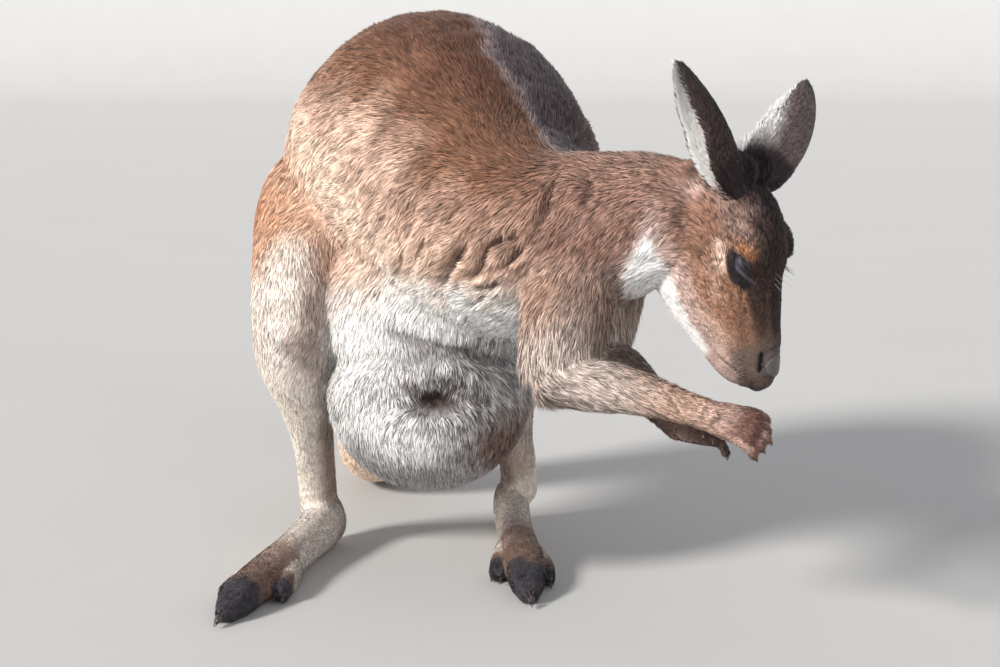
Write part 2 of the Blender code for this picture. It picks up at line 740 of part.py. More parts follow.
# ---------------------------------------------------------------- naming
INSIDE = {
    "trunk": Vector(TRUNK[4][0]),
    "neck": Vector(TRUNK[9][0]),
    "head": head_point(0.09, -0.02, 0),
    "tail_base": Vector(TAIL[3][0]),
    "tail_middle": Vector(TAIL[7][0]),
    "tail_end": Vector(TAIL[9][0]),
}
for side, arm in ARMS.items():
    INSIDE[f"forearm_{side}"] = Vector(arm["fore"][2][0])
    INSIDE[f"hand_{side}"] = Vector(arm["fore"][-1][0]) + Vector(arm["forward"]) * 0.02
    INSIDE[f"foot_{side}"] = foot_point(side, 0.10, 0, 0.02)


def loose_bodies(obj):
    """The separate bodies of an object, each its own object; specks left by a cut are dropped."""
    bpy.ops.object.select_all(action="DESELECT")
    bpy.context.view_layer.objects.active = obj
    obj.select_set(True)
    bpy.ops.object.mode_set(mode="EDIT")
    bpy.ops.mesh.separate(type="LOOSE")
    bpy.ops.object.mode_set(mode="OBJECT")
    bodies = []
    for body in list(bpy.context.selected_objects):
        if max(body.dimensions) > SPECK:
            bodies.append(body)
        else:
            bpy.data.objects.remove(body, do_unlink=True)
    return bodies


def holds(obj, point):
    """Whether the point is inside the body."""
    tree = BVHTree.FromObject(obj, bpy.context.evaluated_depsgraph_get())
    ray = Vector((0.31, 0.17, 0.94)).normalized()
    crossings, start = 0, Vector(point)
    for _ in range(40):
        hit, _normal, _face, _far = tree.ray_cast(start, ray)
        if hit is None:
            break
        crossings += 1
        start = hit + ray * 1e-6
    return crossings % 2 == 1


for name, obj in list(pieces.items()):
    pieces[name] = max(loose_bodies(obj), key=lambda body: len(body.data.vertices))
for body in loose_bodies(flesh):
    body.name = next((name for name, point in INSIDE.items() if holds(body, point)), body.name)
    pieces[body.name] = body
for name, obj in pieces.items():
    obj.name = name
    finish(obj, next((kind for kind in COLOURS if name.startswith(kind)), "trunk"))

# ---------------------------------------------------------------- origin in the middle of the footprint
bpy.context.view_layer.update()
corners = [point for obj in BODY.objects for point in points_of(obj.data)]
low, high = np.min(corners, axis=0), np.max(corners, axis=0)
to_origin = Vector((-(low[0] + high[0]) / 2, -(low[1] + high[1]) / 2, 0.0))
for obj in [*BODY.objects, *CUTTERS.objects]:
    obj.data.transform(Matrix.Translation(to_origin))
for cutter in CUTTERS.objects:
    cutter.display_type = "WIRE"
    cutter.hide_render = True
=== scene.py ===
"""Dressed kangaroo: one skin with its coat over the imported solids, in their frame. Metres, +Z up."""
import math

import bmesh
import bpy
import numpy as np
from mathutils import Matrix, Vector
from mathutils.bvhtree import BVHTree
from mathutils.kdtree import KDTree


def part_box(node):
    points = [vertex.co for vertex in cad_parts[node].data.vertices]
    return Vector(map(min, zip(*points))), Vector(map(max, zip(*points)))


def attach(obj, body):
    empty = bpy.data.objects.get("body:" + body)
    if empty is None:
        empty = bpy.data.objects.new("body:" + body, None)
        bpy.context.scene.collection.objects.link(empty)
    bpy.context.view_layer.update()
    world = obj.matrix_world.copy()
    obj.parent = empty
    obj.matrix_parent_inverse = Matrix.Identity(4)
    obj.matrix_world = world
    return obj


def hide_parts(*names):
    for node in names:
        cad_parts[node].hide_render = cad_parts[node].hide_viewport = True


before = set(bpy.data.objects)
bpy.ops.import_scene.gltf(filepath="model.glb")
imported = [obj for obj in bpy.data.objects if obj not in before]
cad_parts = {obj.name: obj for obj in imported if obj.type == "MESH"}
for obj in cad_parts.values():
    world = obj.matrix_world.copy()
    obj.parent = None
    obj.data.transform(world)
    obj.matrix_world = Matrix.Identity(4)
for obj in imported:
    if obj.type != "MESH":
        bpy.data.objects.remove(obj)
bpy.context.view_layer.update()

RNG = np.random.default_rng(7)


def mm(*rows):
    """Lengths given in millimetres, nested in any way, as metres."""
    return tuple(mm(*row) if isinstance(row, tuple) else row / 1000 for row in rows)


# ---------------------------------------------------------------- measures of the body, as in the solids
VOXEL = 0.0023
# Ovals along a path: centre, half width, half height, and for the trunk the depth below the centre.
TRUNK = mm(
    ((-95, 262, 300), 60, 60, 60), ((-100, 220, 355), 104, 100, 100), ((-98, 160, 405), 138, 144, 125),
    ((-83, 94, 435), 155, 166, 145), ((-56, 28, 430), 158, 164, 145), ((-23, -44, 415), 146, 137, 140),
    ((10, -116, 400), 121, 102, 120), ((50, -175, 398), 98, 78, 100), ((95, -215, 408), 76, 67, 80),
    ((138, -243, 414), 60, 63, 70), ((180, -262, 408), 46, 58, 54),
)
TRUNK_LEAN = (0, 0, 6, 14, 21, 21, 14, 6, 4, 0, 0)  # degrees
BELLY_CENTRE, BELLY_HALF = mm((-76, -28, 298), (117, 116, 108))
POUCH_CENTRE, POUCH_HALF = mm((-74, -58, 208), (106, 98, 98))
TAIL = mm(
    ((-95, 205, 330), 85), ((-106, 248, 252), 66), ((-127, 267, 172), 57), ((-146, 290, 108), 51.5),
    ((-156, 336, 64), 48), ((-160, 410, 45), 43.5), ((-161, 510, 36.5), 36.5), ((-160, 600, 29.5), 30),
    ((-156, 695, 23.5), 24), ((-142, 805, 17.5), 18), ((-118, 915, 10.5), 11),
)
# Share of the way from the hip to the knee, rise over the straight line, half width and height.
THIGH = (
    (0.00, 0.000, 0.052, 0.070), (0.19, 0.034, 0.088, 0.108), (0.45, 0.040, 0.091, 0.118),
    (0.68, 0.026, 0.072, 0.098), (0.89, 0.012, 0.052, 0.074), (1.00, 0.000, 0.038, 0.048),
)
THIGH_TOP = {"r": mm(-153, 232, 335), "l": mm(-45, 245, 335)}
SHANK = mm(
    ((-213, -66, 300), 43, 46), ((-215, -42, 250), 41, 48), ((-208, -3, 190), 29, 38),
    ((-205, 42, 130), 22, 27), ((-206, 78, 85), 21.5, 26), ((-206, 96, 48), 21.5, 27),
)
KNEE = mm(-215, -76, 288)
HEEL = {"r": mm(-193, 105), "l": mm(11, 178)}
HEADING = {"r": -16.0, "l": 3.4}  # degrees of the toes to the animal's left
LEFT_KNEE_OUT = 9.0  # degrees
# From the heel on: along, outward, half width, height of the centre, half height.
FOOT = mm(
    (-8, 0, 15, 20, 19), (18, 0, 20, 31, 31), (60, 0, 20.5, 27, 27), (110, 0, 19.5, 23, 23.5),
    (160, 1, 21, 20, 21.5), (200, 2, 22, 18, 20), (238, 2, 20.5, 17, 18.5), (268, 2, 18, 14.5, 16),
    (292, 2, 11, 10, 11),
)
FIFTH_TOE = mm((170, 16, 11, 14, 15), (210, 24, 10.5, 12, 13), (238, 26, 8, 11, 11))
JOINED_TOES = mm((150, -14, 11, 15, 16), (190, -22, 10.5, 13, 14), (218, -27, 9, 12, 12))
ARMS = {
    "r": dict(
        upper=mm(
            ((78, -215, 410), 50, 50), ((70, -245, 365), 46, 40), ((59, -268, 318), 42, 36),
            ((48, -284, 280), 34, 31),
        ),
        fore=mm(
            ((44, -286, 276), 31, 27), ((85, -298, 270), 29, 26), ((128, -314, 264), 22, 20),
            ((165, -327, 255), 17, 15.5), ((192, -337, 247.5), 17, 14),
        ),
        forward=(0.93, -0.25, -0.24),
        back=(0.05, -0.68, 0.73),
        thumb=1,
    ),
    "l": dict(
        upper=mm(
            ((108, -148, 405), 46, 48), ((110, -138, 360), 40, 38), ((106, -138, 312), 34, 34),
            ((100, -143, 275), 30, 30),
        ),
        fore=mm(
            ((98, -141, 272), 28, 26), ((118, -176, 260), 25, 24), ((140, -218, 244), 20, 19),
            ((157, -250, 232), 16.5, 15.5), ((169, -273, 224), 16.5, 14),
        ),
        forward=(0.70, -0.70, 0.02),
        back=(0.40, 0.46, 0.79),
        thumb=-1,
    ),
}
PALM_LENGTH = 0.034
PALM = ((-0.006, 0.0150, 0.0125), (0.012, 0.0190, 0.0125), (PALM_LENGTH, 0.0215, 0.0110))
FINGERS = 5
FINGER_LENGTH = 0.025
FINGER_RADIUS = 0.0050
FINGER_PITCH = 0.0084
FINGER_SINK = 0.004
OUTER_STEP = 0.0035  # how much shorter each finger is than the one nearer the middle
FAN = 0.10
CURL = ((4, 0.34), (26, 0.33), (46, 0.28))  # degrees of each joint's bend, share of the length

# The head's own frame: along to the nose, up to the crown, sideways out of the cheek.
HEAD_AT = Vector(mm(197, -265, 444.5))
NOSEWARD = Vector((0.301, -0.161, -0.940)).normalized()
LEFTWARD = Vector((0.827, -0.442, 0.342)).cross(NOSEWARD).normalized()
CROWNWARD = NOSEWARD.cross(LEFTWARD).normalized()
HEAD_FRAME = Matrix((NOSEWARD, CROWNWARD, LEFTWARD)).transposed()
HEAD_ORIGIN, HEAD_AXES = np.array(HEAD_AT), np.array(HEAD_FRAME)
HEAD = mm(  # along, half width, top, bottom
    (-16, 26, 24, -36), (0, 42, 43, -64), (28, 48, 52, -80), (58, 46, 49, -84), (85, 42, 38, -80),
    (110, 35, 29, -71), (135, 26, 21, -61), (158, 21.5, 14.5, -50), (174, 17.2, 6.2, -35.5),
    (182, 11.2, -2.5, -26.5),
)
EYE = mm(72, 19, 31.5)
EYE_RADIUS = 0.0108
EAR_MOUND = mm(-7, 36, 21)
HEAD_ROUNDS = (  # centre and half size of what stands out on both sides
    mm((60, 30, 34), (22, 16, 9)),  # brow
    mm((72, 17, 30), (19, 14, 10.5)),  # round the eye
    mm((166, -22, 10.5), (16, 14, 10)),  # lip
    (EAR_MOUND, mm(20, 17, 18)),  # thick base that joins the ear to the crown
)
EAR_ROOT = mm(4, 34, 31)
EAR_WALL = 0.0032
EAR_SUNK = 0.07  # share of its length that goes on into the head
# Fullness: lower is broader towards the tip. Overlap: how much further round one wall goes.
EAR_SHAPE = {
    "r": dict(tip=mm(-112, 33.5, 74), mouth=(-0.87, -0.50, 0.0), shift=0.0125, fullness=0.8,
              width=0.0190, depth=0.0265, overlap=1.14),
    "l": dict(tip=mm(-69, 69.5, 122), mouth=(-0.89, -0.46, 0.0), shift=0.0195, fullness=0.62,
              width=0.0270, depth=0.0440, overlap=1.0),
}
SIDES = {"r": -1, "l": 1}


# ---------------------------------------------------------------- places
def head_point(along, up, sideways, side=1):
    return HEAD_AT + HEAD_FRAME @ Vector((along, up, sideways * side))


def foot_point(side, along, outward, height):
    turn = math.radians(HEADING[side])
    forth = Vector((math.sin(turn), -math.cos(turn), 0.0))
    out = Vector((math.cos(turn), math.sin(turn), 0.0)) * SIDES[side]
    return Vector((*HEEL[side], 0.0)) + forth * along + out * outward + Vector((0, 0, height))


def leg_point(side, place):
    """The left leg is the right one mirrored, with its heel and knee turned."""
    place = Vector(place)
    if side == "r":
        return place
    local = Matrix.Rotation(-math.radians(HEADING["r"]), 3, "Z") @ (place - Vector((*HEEL["r"], 0.0)))
    local.x = -local.x
    return Vector((*HEEL["l"], 0.0)) + Matrix.Rotation(math.radians(LEFT_KNEE_OUT), 3, "Z") @ local


# The solids' frame has its origin under the middle of the animal; the measures above don't.
eye_low, eye_high = [np.array(corner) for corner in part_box("eye_r")]
SHIFT = Vector((eye_low + eye_high) / 2) - head_point(*EYE, SIDES["r"])
SHIFT.z = 0.0


def smooth_path(values, per_span):
    values = np.asarray(values, float)
    padded = np.vstack([2 * values[0] - values[1], values, 2 * values[-1] - values[-2]])
    rows = []
    for i in range(1, len(padded) - 2):
        a, b, c, d = padded[i - 1 : i + 3]
        for number in range(per_span):
            t = number / per_span
            bend = (2 * a - 5 * b + 4 * c - d) * t * t + (3 * b - 3 * c + d - a) * t**3
            rows.append(0.5 * (2 * b + (c - a) * t + bend))
    rows.append(values[-1])
    return np.array(rows)


def add_rings(bm, rings):
    rows = [[bm.verts.new(p) for p in ring] for ring in rings]
    count = len(rows[0])
    for low, high in zip(rows, rows[1:]):
        for k in range(count):
            bm.faces.new((low[k], low[(k + 1) % count], high[(k + 1) % count], high[k]))
    for row, turned in ((rows[0], True), (rows[-1], False)):
        middle = bm.verts.new(sum((v.co for v in row), Vector()) / count)
        for k in range(count):
            ends = (row[k], row[(k + 1) % count], middle)
            bm.faces.new(ends[::-1] if turned else ends)


STATIONS = {}  # part of the body -> rows of centre, along, side, top, width, height, depth, share of the way
DOME_TURNS = (0.35, 0.8, 1.2)  # radians, of the rings that close an end


def add_loft(bm, part, stations, up=(0, 0, 1), dome=0.6, points=28, square=2.0, spans=5):
    """Ovals along a path, kept as the part's stations for the lie and colour of the coat."""
    rows = []
    for centre, width, height, *rest in stations:
        depth = rest[0] if rest else height
        lean = math.radians(rest[1]) if len(rest) > 1 else 0.0
        rows.append((*centre, width, height, depth, lean))
    rows = smooth_path(rows, spans)
    up = Vector(up)
    rings = []
    last = len(rows) - 1
    for i, row in enumerate(rows):
        along = Vector(rows[min(i + 1, last)][:3] - rows[max(i - 1, 0)][:3]).normalized()
        side = along.cross(up).normalized()
        top = side.cross(along).normalized()
        turn = Matrix.Rotation(-row[6], 3, along)
        side, top = turn @ side, turn @ top
        STATIONS.setdefault(part, []).append((*row[:3], *along, *side, *top, *row[3:6], i / last))
        ends = [(1.0, 0.0)]
        reach = dome * min(row[3], row[4])
        if i == 0:
            ends = [(math.sin(a), -math.cos(a)) for a in DOME_TURNS] + ends
        if i == last:
            ends = ends + [(math.sin(a), math.cos(a)) for a in DOME_TURNS[::-1]]
        for scale, forth in ends:
            ring = []
            for k in range(points):
                angle = 2 * math.pi * k / points
                c, s = math.cos(angle), math.sin(angle)
                c = math.copysign(abs(c) ** (2 / square), c)
                s = math.copysign(abs(s) ** (2 / square), s)
                tall = row[4] if s > 0 else row[5]
                centre = Vector(row[:3]) + along * (forth * reach)
                ring.append(centre + side * (c * row[3] * scale) + top * (s * tall * scale))
            rings.append(ring)
    add_rings(bm, rings)


def add_blob(bm, part, centre, half, turned=None, segments=28):
    turned = turned or Matrix.Identity(3)
    place = Matrix.Translation(centre) @ turned.to_4x4() @ Matrix.Diagonal((*half, 1.0))
    bmesh.ops.create_uvsphere(bm, u_segments=segments, v_segments=segments * 2 // 3, radius=1.0, matrix=place)
    if part:
        row = (*centre, 0, 0, -1, 1, 0, 0, 0, 1, 0, half[0], half[1], half[1], half[2])
        STATIONS.setdefault(part, []).append(row)


# ---------------------------------------------------------------- flesh out to the tips of the coat
def add_object(name, data):
    obj = bpy.data.objects.new(name, data)
    bpy.context.scene.collection.objects.link(obj)
    return obj


def add_hand(bm, side, arm):
    wrist = Vector(arm["fore"][-1][0])
    forward = Vector(arm["forward"]).normalized()
    across = forward.cross(Vector(arm["back"])).normalized()
    back = across.cross(forward).normalized()
    add_loft(bm, f"hand_{side}", [(wrist + forward * reach, w, h) for reach, w, h in PALM], up=back)
    for number in range(FINGERS):
        offset = (number - FINGERS // 2) * arm["thumb"]
        heading = (forward + across * offset * FAN).normalized()
        place = wrist + forward * (PALM_LENGTH - FINGER_SINK - OUTER_STEP * abs(offset))
        place += across * offset * FINGER_PITCH
        path = [(place, FINGER_RADIUS, FINGER_RADIUS)]
        for curl, share in CURL:
            bend = math.radians(curl)
            place = place + (heading * math.cos(bend) - back * math.sin(bend)) * FINGER_LENGTH * share
            path.append((place, FINGER_RADIUS * 0.94, FINGER_RADIUS * 0.95))
        add_loft(bm, f"hand_{side}", path, up=back, points=12, dome=0.9, spans=3)


def build_flesh():
    bm = bmesh.new()
    add_loft(bm, "trunk", [(*row, lean) for row, lean in zip(TRUNK, TRUNK_LEAN)])
    add_blob(bm, "belly", BELLY_CENTRE, BELLY_HALF)
    add_blob(bm, "pouch", POUCH_CENTRE, POUCH_HALF)
    add_loft(bm, "tail", [(c, r, r) for c, r in TAIL], up=(0, 0.3, 1))
    for side in SIDES:
        top, knee = Vector(THIGH_TOP[side]), leg_point(side, KNEE)
        rise = Vector((0, 0, 1))
        add_loft(bm, f"thigh_{side}", [(top.lerp(knee, t) + rise * up, w, h) for t, up, w, h in THIGH])
        add_loft(bm, f"shank_{side}", [(leg_point(side, c), w, h) for c, w, h in SHANK], up=(0, -1, 0.4))
        for toes in (FOOT, FIFTH_TOE, JOINED_TOES):
            path = [(foot_point(side, a, o, z), w, h) for a, o, w, z, h in toes]
            add_loft(bm, f"foot_{side}", path, square=2.5)
    rows = []
    for along, width, top, bottom in HEAD:
        rows.append((head_point(along, (top + bottom) / 2, 0), width, (top - bottom) / 2))
    add_loft(bm, "head", rows, up=CROWNWARD, square=2.2)
    for sign in SIDES.values():
        for centre, half in HEAD_ROUNDS:
            add_blob(bm, None, head_point(*centre, sign), half, HEAD_FRAME)
    for side, arm in ARMS.items():
        add_loft(bm, f"upper_{side}", arm["upper"], up=(0, -1, 0.2))
        add_loft(bm, f"fore_{side}", arm["fore"])
        add_hand(bm, side, arm)
    bmesh.ops.recalc_face_normals(bm, faces=bm.faces)
    mesh = bpy.data.meshes.new("flesh")
    bm.to_mesh(mesh)
    bm.free()
    return add_object("flesh", mesh)


def modify(obj, kind, **settings):
    made = obj.modifiers.new(kind.lower(), kind)
    for name, value in settings.items():
        setattr(made, name, value)


def settled(obj):
    """The mesh that the object's modifiers give, as its own data."""
    bpy.context.view_layer.update()
    mesh = bpy.data.meshes.new_from_object(obj.evaluated_get(bpy.context.evaluated_depsgraph_get()))
    obj.modifiers.clear()
    obj.data = mesh
    return mesh


def read(rows, name, wide, kind=np.int32):
    """One value of every row of a mesh's data, as an array so wide."""
    found = np.empty(len(rows) * wide, kind)
    rows.foreach_get(name, found)
    return found.reshape(-1, wide)


def points_of(mesh):
    return read(mesh.vertices, "co", 3, np.float32).astype(float)


def triangles_of(mesh):
    mesh.calc_loop_triangles()
    return read(mesh.loop_triangles, "vertices", 3)


def unit(rows):
    return rows / np.maximum(np.linalg.norm(rows, axis=-1, keepdims=True), 1e-9)


def normals_of(points, faces):
    """Area-weighted normals at the points."""
    cross = np.cross(points[faces[:, 1]] - points[faces[:, 0]], points[faces[:, 2]] - points[faces[:, 0]])
    found = np.zeros_like(points)
    for k in range(3):
        for axis in range(3):
            found[:, axis] += np.bincount(faces[:, k], weights=cross[:, axis], minlength=len(points))
    return unit(found)


def nearest_of(places, points):
    """The number of the place nearest to each point."""
    tree = KDTree(len(places))
    for k, place in enumerate(places.tolist()):
        tree.insert(place, k)
    tree.balance()
    return np.array([tree.find(p)[1] for p in points.tolist()])


def step(values, low, high):
    """Nought below low, one above high, smooth between."""
    t = np.clip((values - low) / (high - low), 0, 1)
    return t * t * (3 - 2 * t)


def fall(values, low, high):
    """One below low, nought above high, smooth between."""
    return 1 - step(values, low, high)


def far_from(points, place):
    return np.linalg.norm(points - np.array(place), axis=1)


def quad(a, b, wide):
    """Two triangles between two neighbours and the same two one row on."""
    return [(a, b, b + wide), (a, b + wide, a + wide)]


def bell(values, width):
    """One at nought, falling to both sides."""
    return np.exp(-((values / width) ** 2))


def ellipsoid(points, centre, half):
    """How far out the points are from a centre, with one on the ellipsoid of that half size."""
    return np.sqrt((((points - np.array(centre)) / np.array(half)) ** 2).sum(axis=1))


def lattice(i, j, k, seed):
    h = (i * 374761393 + j * 668265263 + k * 1442695041 + seed * 974634777) & 0xFFFFFFFF
    h = ((h ^ (h >> 13)) * 1274126177) & 0xFFFFFFFF
    return ((h ^ (h >> 16)) & 0xFFFF) / 65535.0


def noise(points, size, seed=0):
    """Smooth value noise, from nought to one, with cells of the size."""
    p = points / np.asarray(size)
    base = np.floor(p).astype(np.int64)
    f = p - base
    f = f * f * (3 - 2 * f)
    total = 0
    for dx in (0, 1):
        for dy in (0, 1):
            for dz in (0, 1):
                w = (f[:, 0] if dx else 1 - f[:, 0]) * (f[:, 1] if dy else 1 - f[:, 1])
                w = w * (f[:, 2] if dz else 1 - f[:, 2])
                total = total + w * lattice(base[:, 0] + dx, base[:, 1] + dy, base[:, 2] + dz, seed)
    return total


FINE = [(head_point(0.10, -0.02, 0), 0.115, 1.0)]  # centre, reach and strength of what keeps fine shapes
for side, arm in ARMS.items():
    FINE.append((foot_point(side, 0.22, 0, 0), 0.10, 0.9))
    FINE.append((Vector(arm["fore"][-1][0]) + Vector(arm["forward"]) * 0.03, 0.060, 1.0))


def fineness(points):
    most = np.zeros(len(points))
    for centre, reach, weight in FINE:
        far = far_from(points, centre) / reach
        most = np.maximum(most, weight * np.clip(2.2 - 2.0 * far, 0, 1))
    return most


def weigh(obj, name, weights):
    group = obj.vertex_groups.new(name=name)
    levels = np.round(weights * 20).astype(int)
    for level in np.unique(levels):
        group.add(np.nonzero(levels == level)[0].tolist(), float(level) / 20, "REPLACE")


flesh = build_flesh()
modify(flesh, "REMESH", mode="VOXEL", voxel_size=VOXEL)
settled(flesh)
weigh(flesh, "body", 1 - fineness(points_of(flesh.data)))
for group, repeat in (("", 3), ("body", 40)):
    modify(flesh, "SMOOTH", factor=0.5, iterations=repeat, vertex_group=group)
settled(flesh)
flesh.vertex_groups.clear()

# The face gets twice the points, for lids, nostrils and lips.
FACE_MIDDLE = head_point(0.115, -0.015, 0)
FACE_REACH = 0.082
bm = bmesh.new()
bm.from_mesh(flesh.data)
chosen = [e for e in bm.edges if (e.verts[0].co - FACE_MIDDLE).length < FACE_REACH]
bmesh.ops.subdivide_edges(bm, edges=chosen, cuts=1, use_grid_fill=True)
bm.to_mesh(flesh.data)
bm.free()

# ---------------------------------------------------------------- what lies where on the body
PARTS = sorted(STATIONS)
AT = {part: k for k, part in enumerate(PARTS)}
BLOBS = ("belly", "pouch")


def survey(points):
    """How much each point belongs to each part, how far along it, which way round, and the part's own way."""
    count = len(points)
    far = np.full((count, len(PARTS)), 9.0)
    share = np.zeros((count, len(PARTS)))
    round_ = np.zeros((count, len(PARTS), 2))
    ways = np.zeros((count, len(PARTS), 3))
    for k, part in enumerate(PARTS):
        rows = np.array(STATIONS[part])
        reach = rows[:, 12:15].max() * 2.2
        low, high = rows[:, :3].min(0) - reach, rows[:, :3].max(0) + reach
        inside = np.nonzero(((points > low) & (points < high)).all(axis=1))[0]
        local = points[inside]
        best = np.full(len(inside), 9.0)
        which = np.zeros(len(inside), int)
        kept = np.zeros((len(inside), 3))
        length = np.linalg.norm(np.diff(rows[:, :3], axis=0), axis=1).sum() or 1.0
        for j, row in enumerate(rows):
            q = local - row[:3]
            a, s, t = q @ row[3:6], q @ row[6:9], q @ row[9:12]
            thick = row[15] if part in BLOBS else min(row[12], row[13])
            tall = np.where(t > 0, row[13], row[14])
            size = np.sqrt((a / thick) ** 2 + (s / row[12]) ** 2 + (t / tall) ** 2)
            closer = size < best
            best = np.where(closer, size, best)
            which[closer] = j
            kept[closer] = np.stack([a, s / row[12], t / row[13]], axis=1)[closer]
        far[inside, k] = best
        own = rows[which]
        share[inside, k] = 0.5 if part in BLOBS else np.clip(own[:, 15] + kept[:, 0] / length, -0.1, 1.1)
        round_[inside, k] = unit(kept[:, 1:])
        ways[inside, k] = own[:, 3:6]
    weight = np.exp(-9.0 * (far - far.min(axis=1, keepdims=True)))
    weight /= weight.sum(axis=1, keepdims=True)
    return weight, share, round_, ways


def srgb(*levels):
    values = np.array(levels) / 255
    return np.where(values <= 0.04045, values / 12.92, ((values + 0.055) / 1.055) ** 2.4)


UMBER = srgb(100, 66, 49)
BROWN = srgb(139, 97, 73)
FAWN = srgb(222, 186, 164)
PALE = srgb(240, 209, 187)
CREAM = srgb(236, 222, 211)
WHITE = srgb(238, 235, 232)
ASH = srgb(122, 116, 118)
DARK = srgb(78, 58, 52)
RUST = srgb(176, 118, 84)
CINNAMON = srgb(180, 144, 124)
FACE = srgb(158, 114, 87)
MUZZLE = srgb(98, 77, 67)
BLACK = srgb(58, 53, 56)
PINK = srgb(196, 160, 150)
TAWNY = srgb(222, 168, 131)
SILVER = srgb(194, 176, 165)
NECK = srgb(152, 116, 100)
CHEST = srgb(128, 112, 106)
ROSE = srgb(206, 178, 167)
SLATE = srgb(84, 70, 76)
FROST = srgb(152, 131, 128)
NIGHT = srgb(44, 33, 35)
BRIDGE = srgb(60, 44, 40)
CHEEK = srgb(208, 172, 150)
SNOUT = srgb(112, 92, 84)
TUFT = srgb(206, 172, 160)
HAND = srgb(112, 74, 62)


def mix(a, b, share):
    share = np.asarray(share)[..., None]
    return a * (1 - share) + b * share


def paint(base, *layers):
    """A colour with others laid over it in turn, each by its share."""
    for colour, share in layers:
        base = mix(base, colour, share)
    return base


def near_path(points, path, reach):
    """How far the points lie from a line of places, where under reach, and their share of the way along."""
    path = np.array(path, float)
    far = np.full(len(points), 9.0)
    share = np.zeros(len(points))
    inside = np.nonzero(((points > path.min(0) - reach) & (points < path.max(0) + reach)).all(axis=1))[0]
    local = points[inside]
    runs = np.linalg.norm(np.diff(path, axis=0), axis=1)
    done = np.concatenate([[0], np.cumsum(runs)]) / runs.sum()
    for a, b, start, end in zip(path[:-1], path[1:], done[:-1], done[1:]):
        t = np.clip(((local - a) @ (b - a)) / ((b - a) @ (b - a)), 0, 1)
        d = np.linalg.norm(local - a - t[:, None] * (b - a), axis=1)
        closer = d < far[inside]
        share[inside[closer]] = (start + t * (end - start))[closer]
        far[inside[closer]] = d[closer]
    return far, share


# Folds of loose skin: the line each follows, its half width and depth.
FOLDS = mm(
    (((20, -263, 406), (4, -256, 401), (-8, -249, 394), (-13, -245, 383), (-19, -238, 369), (-26, -228, 358)),
     5.5, 7.5),
    (((29, -268, 399), (19, -263, 390), (8, -256, 376), (1, -250, 369)), 4, 5),
    (((1, -247, 360), (-8, -238, 353), (-19, -226, 346)), 4, 5),
    (((-8, -233, 344), (-17, -221, 338), (-25, -207, 329)), 3.5, 4),
    (((-27, -236, 399), (-36, -229, 385), (-46, -216, 366), (-55, -196, 345)), 6.5, 5),
    (((57, -245, 461), (45, -264, 438), (39, -269, 421), (32, -269, 406)), 6, 4),
    (((-45, -190, 461), (-65, -192, 442), (-84, -183, 424)), 4, 2.8),
    (((-18, -227, 439), (-40, -222, 422), (-54, -215, 404)), 4, 2.6),
    (((-90, -177, 383), (-96, -163, 364), (-99, -143, 345)), 5, 2.6),
    (((-69, -200, 406), (-76, -191, 381), (-84, -174, 358)), 5, 2.8),
    (((-104, -162, 422), (-118, -147, 399), (-127, -125, 372)), 5, 2.2),
    (((84, -259, 462), (85, -276, 448), (78, -280, 435)), 6, 3.5),
    (((-120, -135, 300), (-103, -140, 292), (-70, -141, 280), (-31, -130, 270), (9, -101, 250)), 9, 5.5),
)
# The rest are on both sides of the head, in its own frame.
FACE_FOLDS = mm(
    (((68, -10, 44.5), (79, -6, 43.5), (88, -1, 40.5), (97, 4, 37)), 2, 2.2),
    (((52, 20, 44), (61, 30, 42), (73, 35, 39), (86, 31, 33), (94, 21, 31)), 2, 1.8),
    (((90, 15, 36), (101, 7, 33), (112, 3, 31)), 1.8, 1.6),
    (((76, -18, 44), (88, -14, 42), (100, -6, 38)), 2, 1.4),
    (((98, 12, 32), (112, 6, 29), (126, 2, 26)), 2.2, 1.2),
    (((40, -4, 47), (49, 6, 46), (53, 16, 44)), 2.2, 1.2),
)
MOUTH = mm(
    (185.5, -17.2, 0), (182.2, -17.8, 9.2), (175.5, -19.5, 15), (163.3, -26.5, 20.4), (152, -34.5, 20.9),
    (143, -40, 22.5),
)
NOSTRIL = mm((156, 2, 17.2), (162, 0, 17.2), (169, -3.5, 16), (173.5, -8.5, 12))
NOSE_PAD = mm((165.5, 3.5, 0), (16, 13, 17.5))
WART = mm(53, -11, 47.5)
TUFT_AT = mm(-4, 1, 38)  # pale tuft below the ear
EAR_CREASE = mm((179, -278, 466), (174, -294, 450), (170, -301, 435), (161, -304, 419))  # in the body's frame
POUCH_MOUTH = np.array(Vector(mm(-66, -152, 226)))
POUCH_FACING = Vector((0.06, -0.98, 0.12)).normalized()
LID_REACH = 0.0135


class Surface:
    """Points and faces of a surface's outer form, with what the coat needs at each point."""

    def of(self, part):
        """How much each point belongs to the part."""
        return self.weights[:, AT[part]]


def furrow(far, width, rim, away):
    """A groove, one deep along its line, with a rim beside it."""
    return bell(far, width) - rim * bell(far - away * width, width)


def ripple(points):
    """Slanting streaks over the flank, from nought to one."""
    slanted = points @ np.array(((0.35, 0, 0.9), (0, 1, 0), (-0.9, 0, 0.35)))
    return noise(slanted * np.array((1.0, 1.0, 0.3)), 0.011, 22)


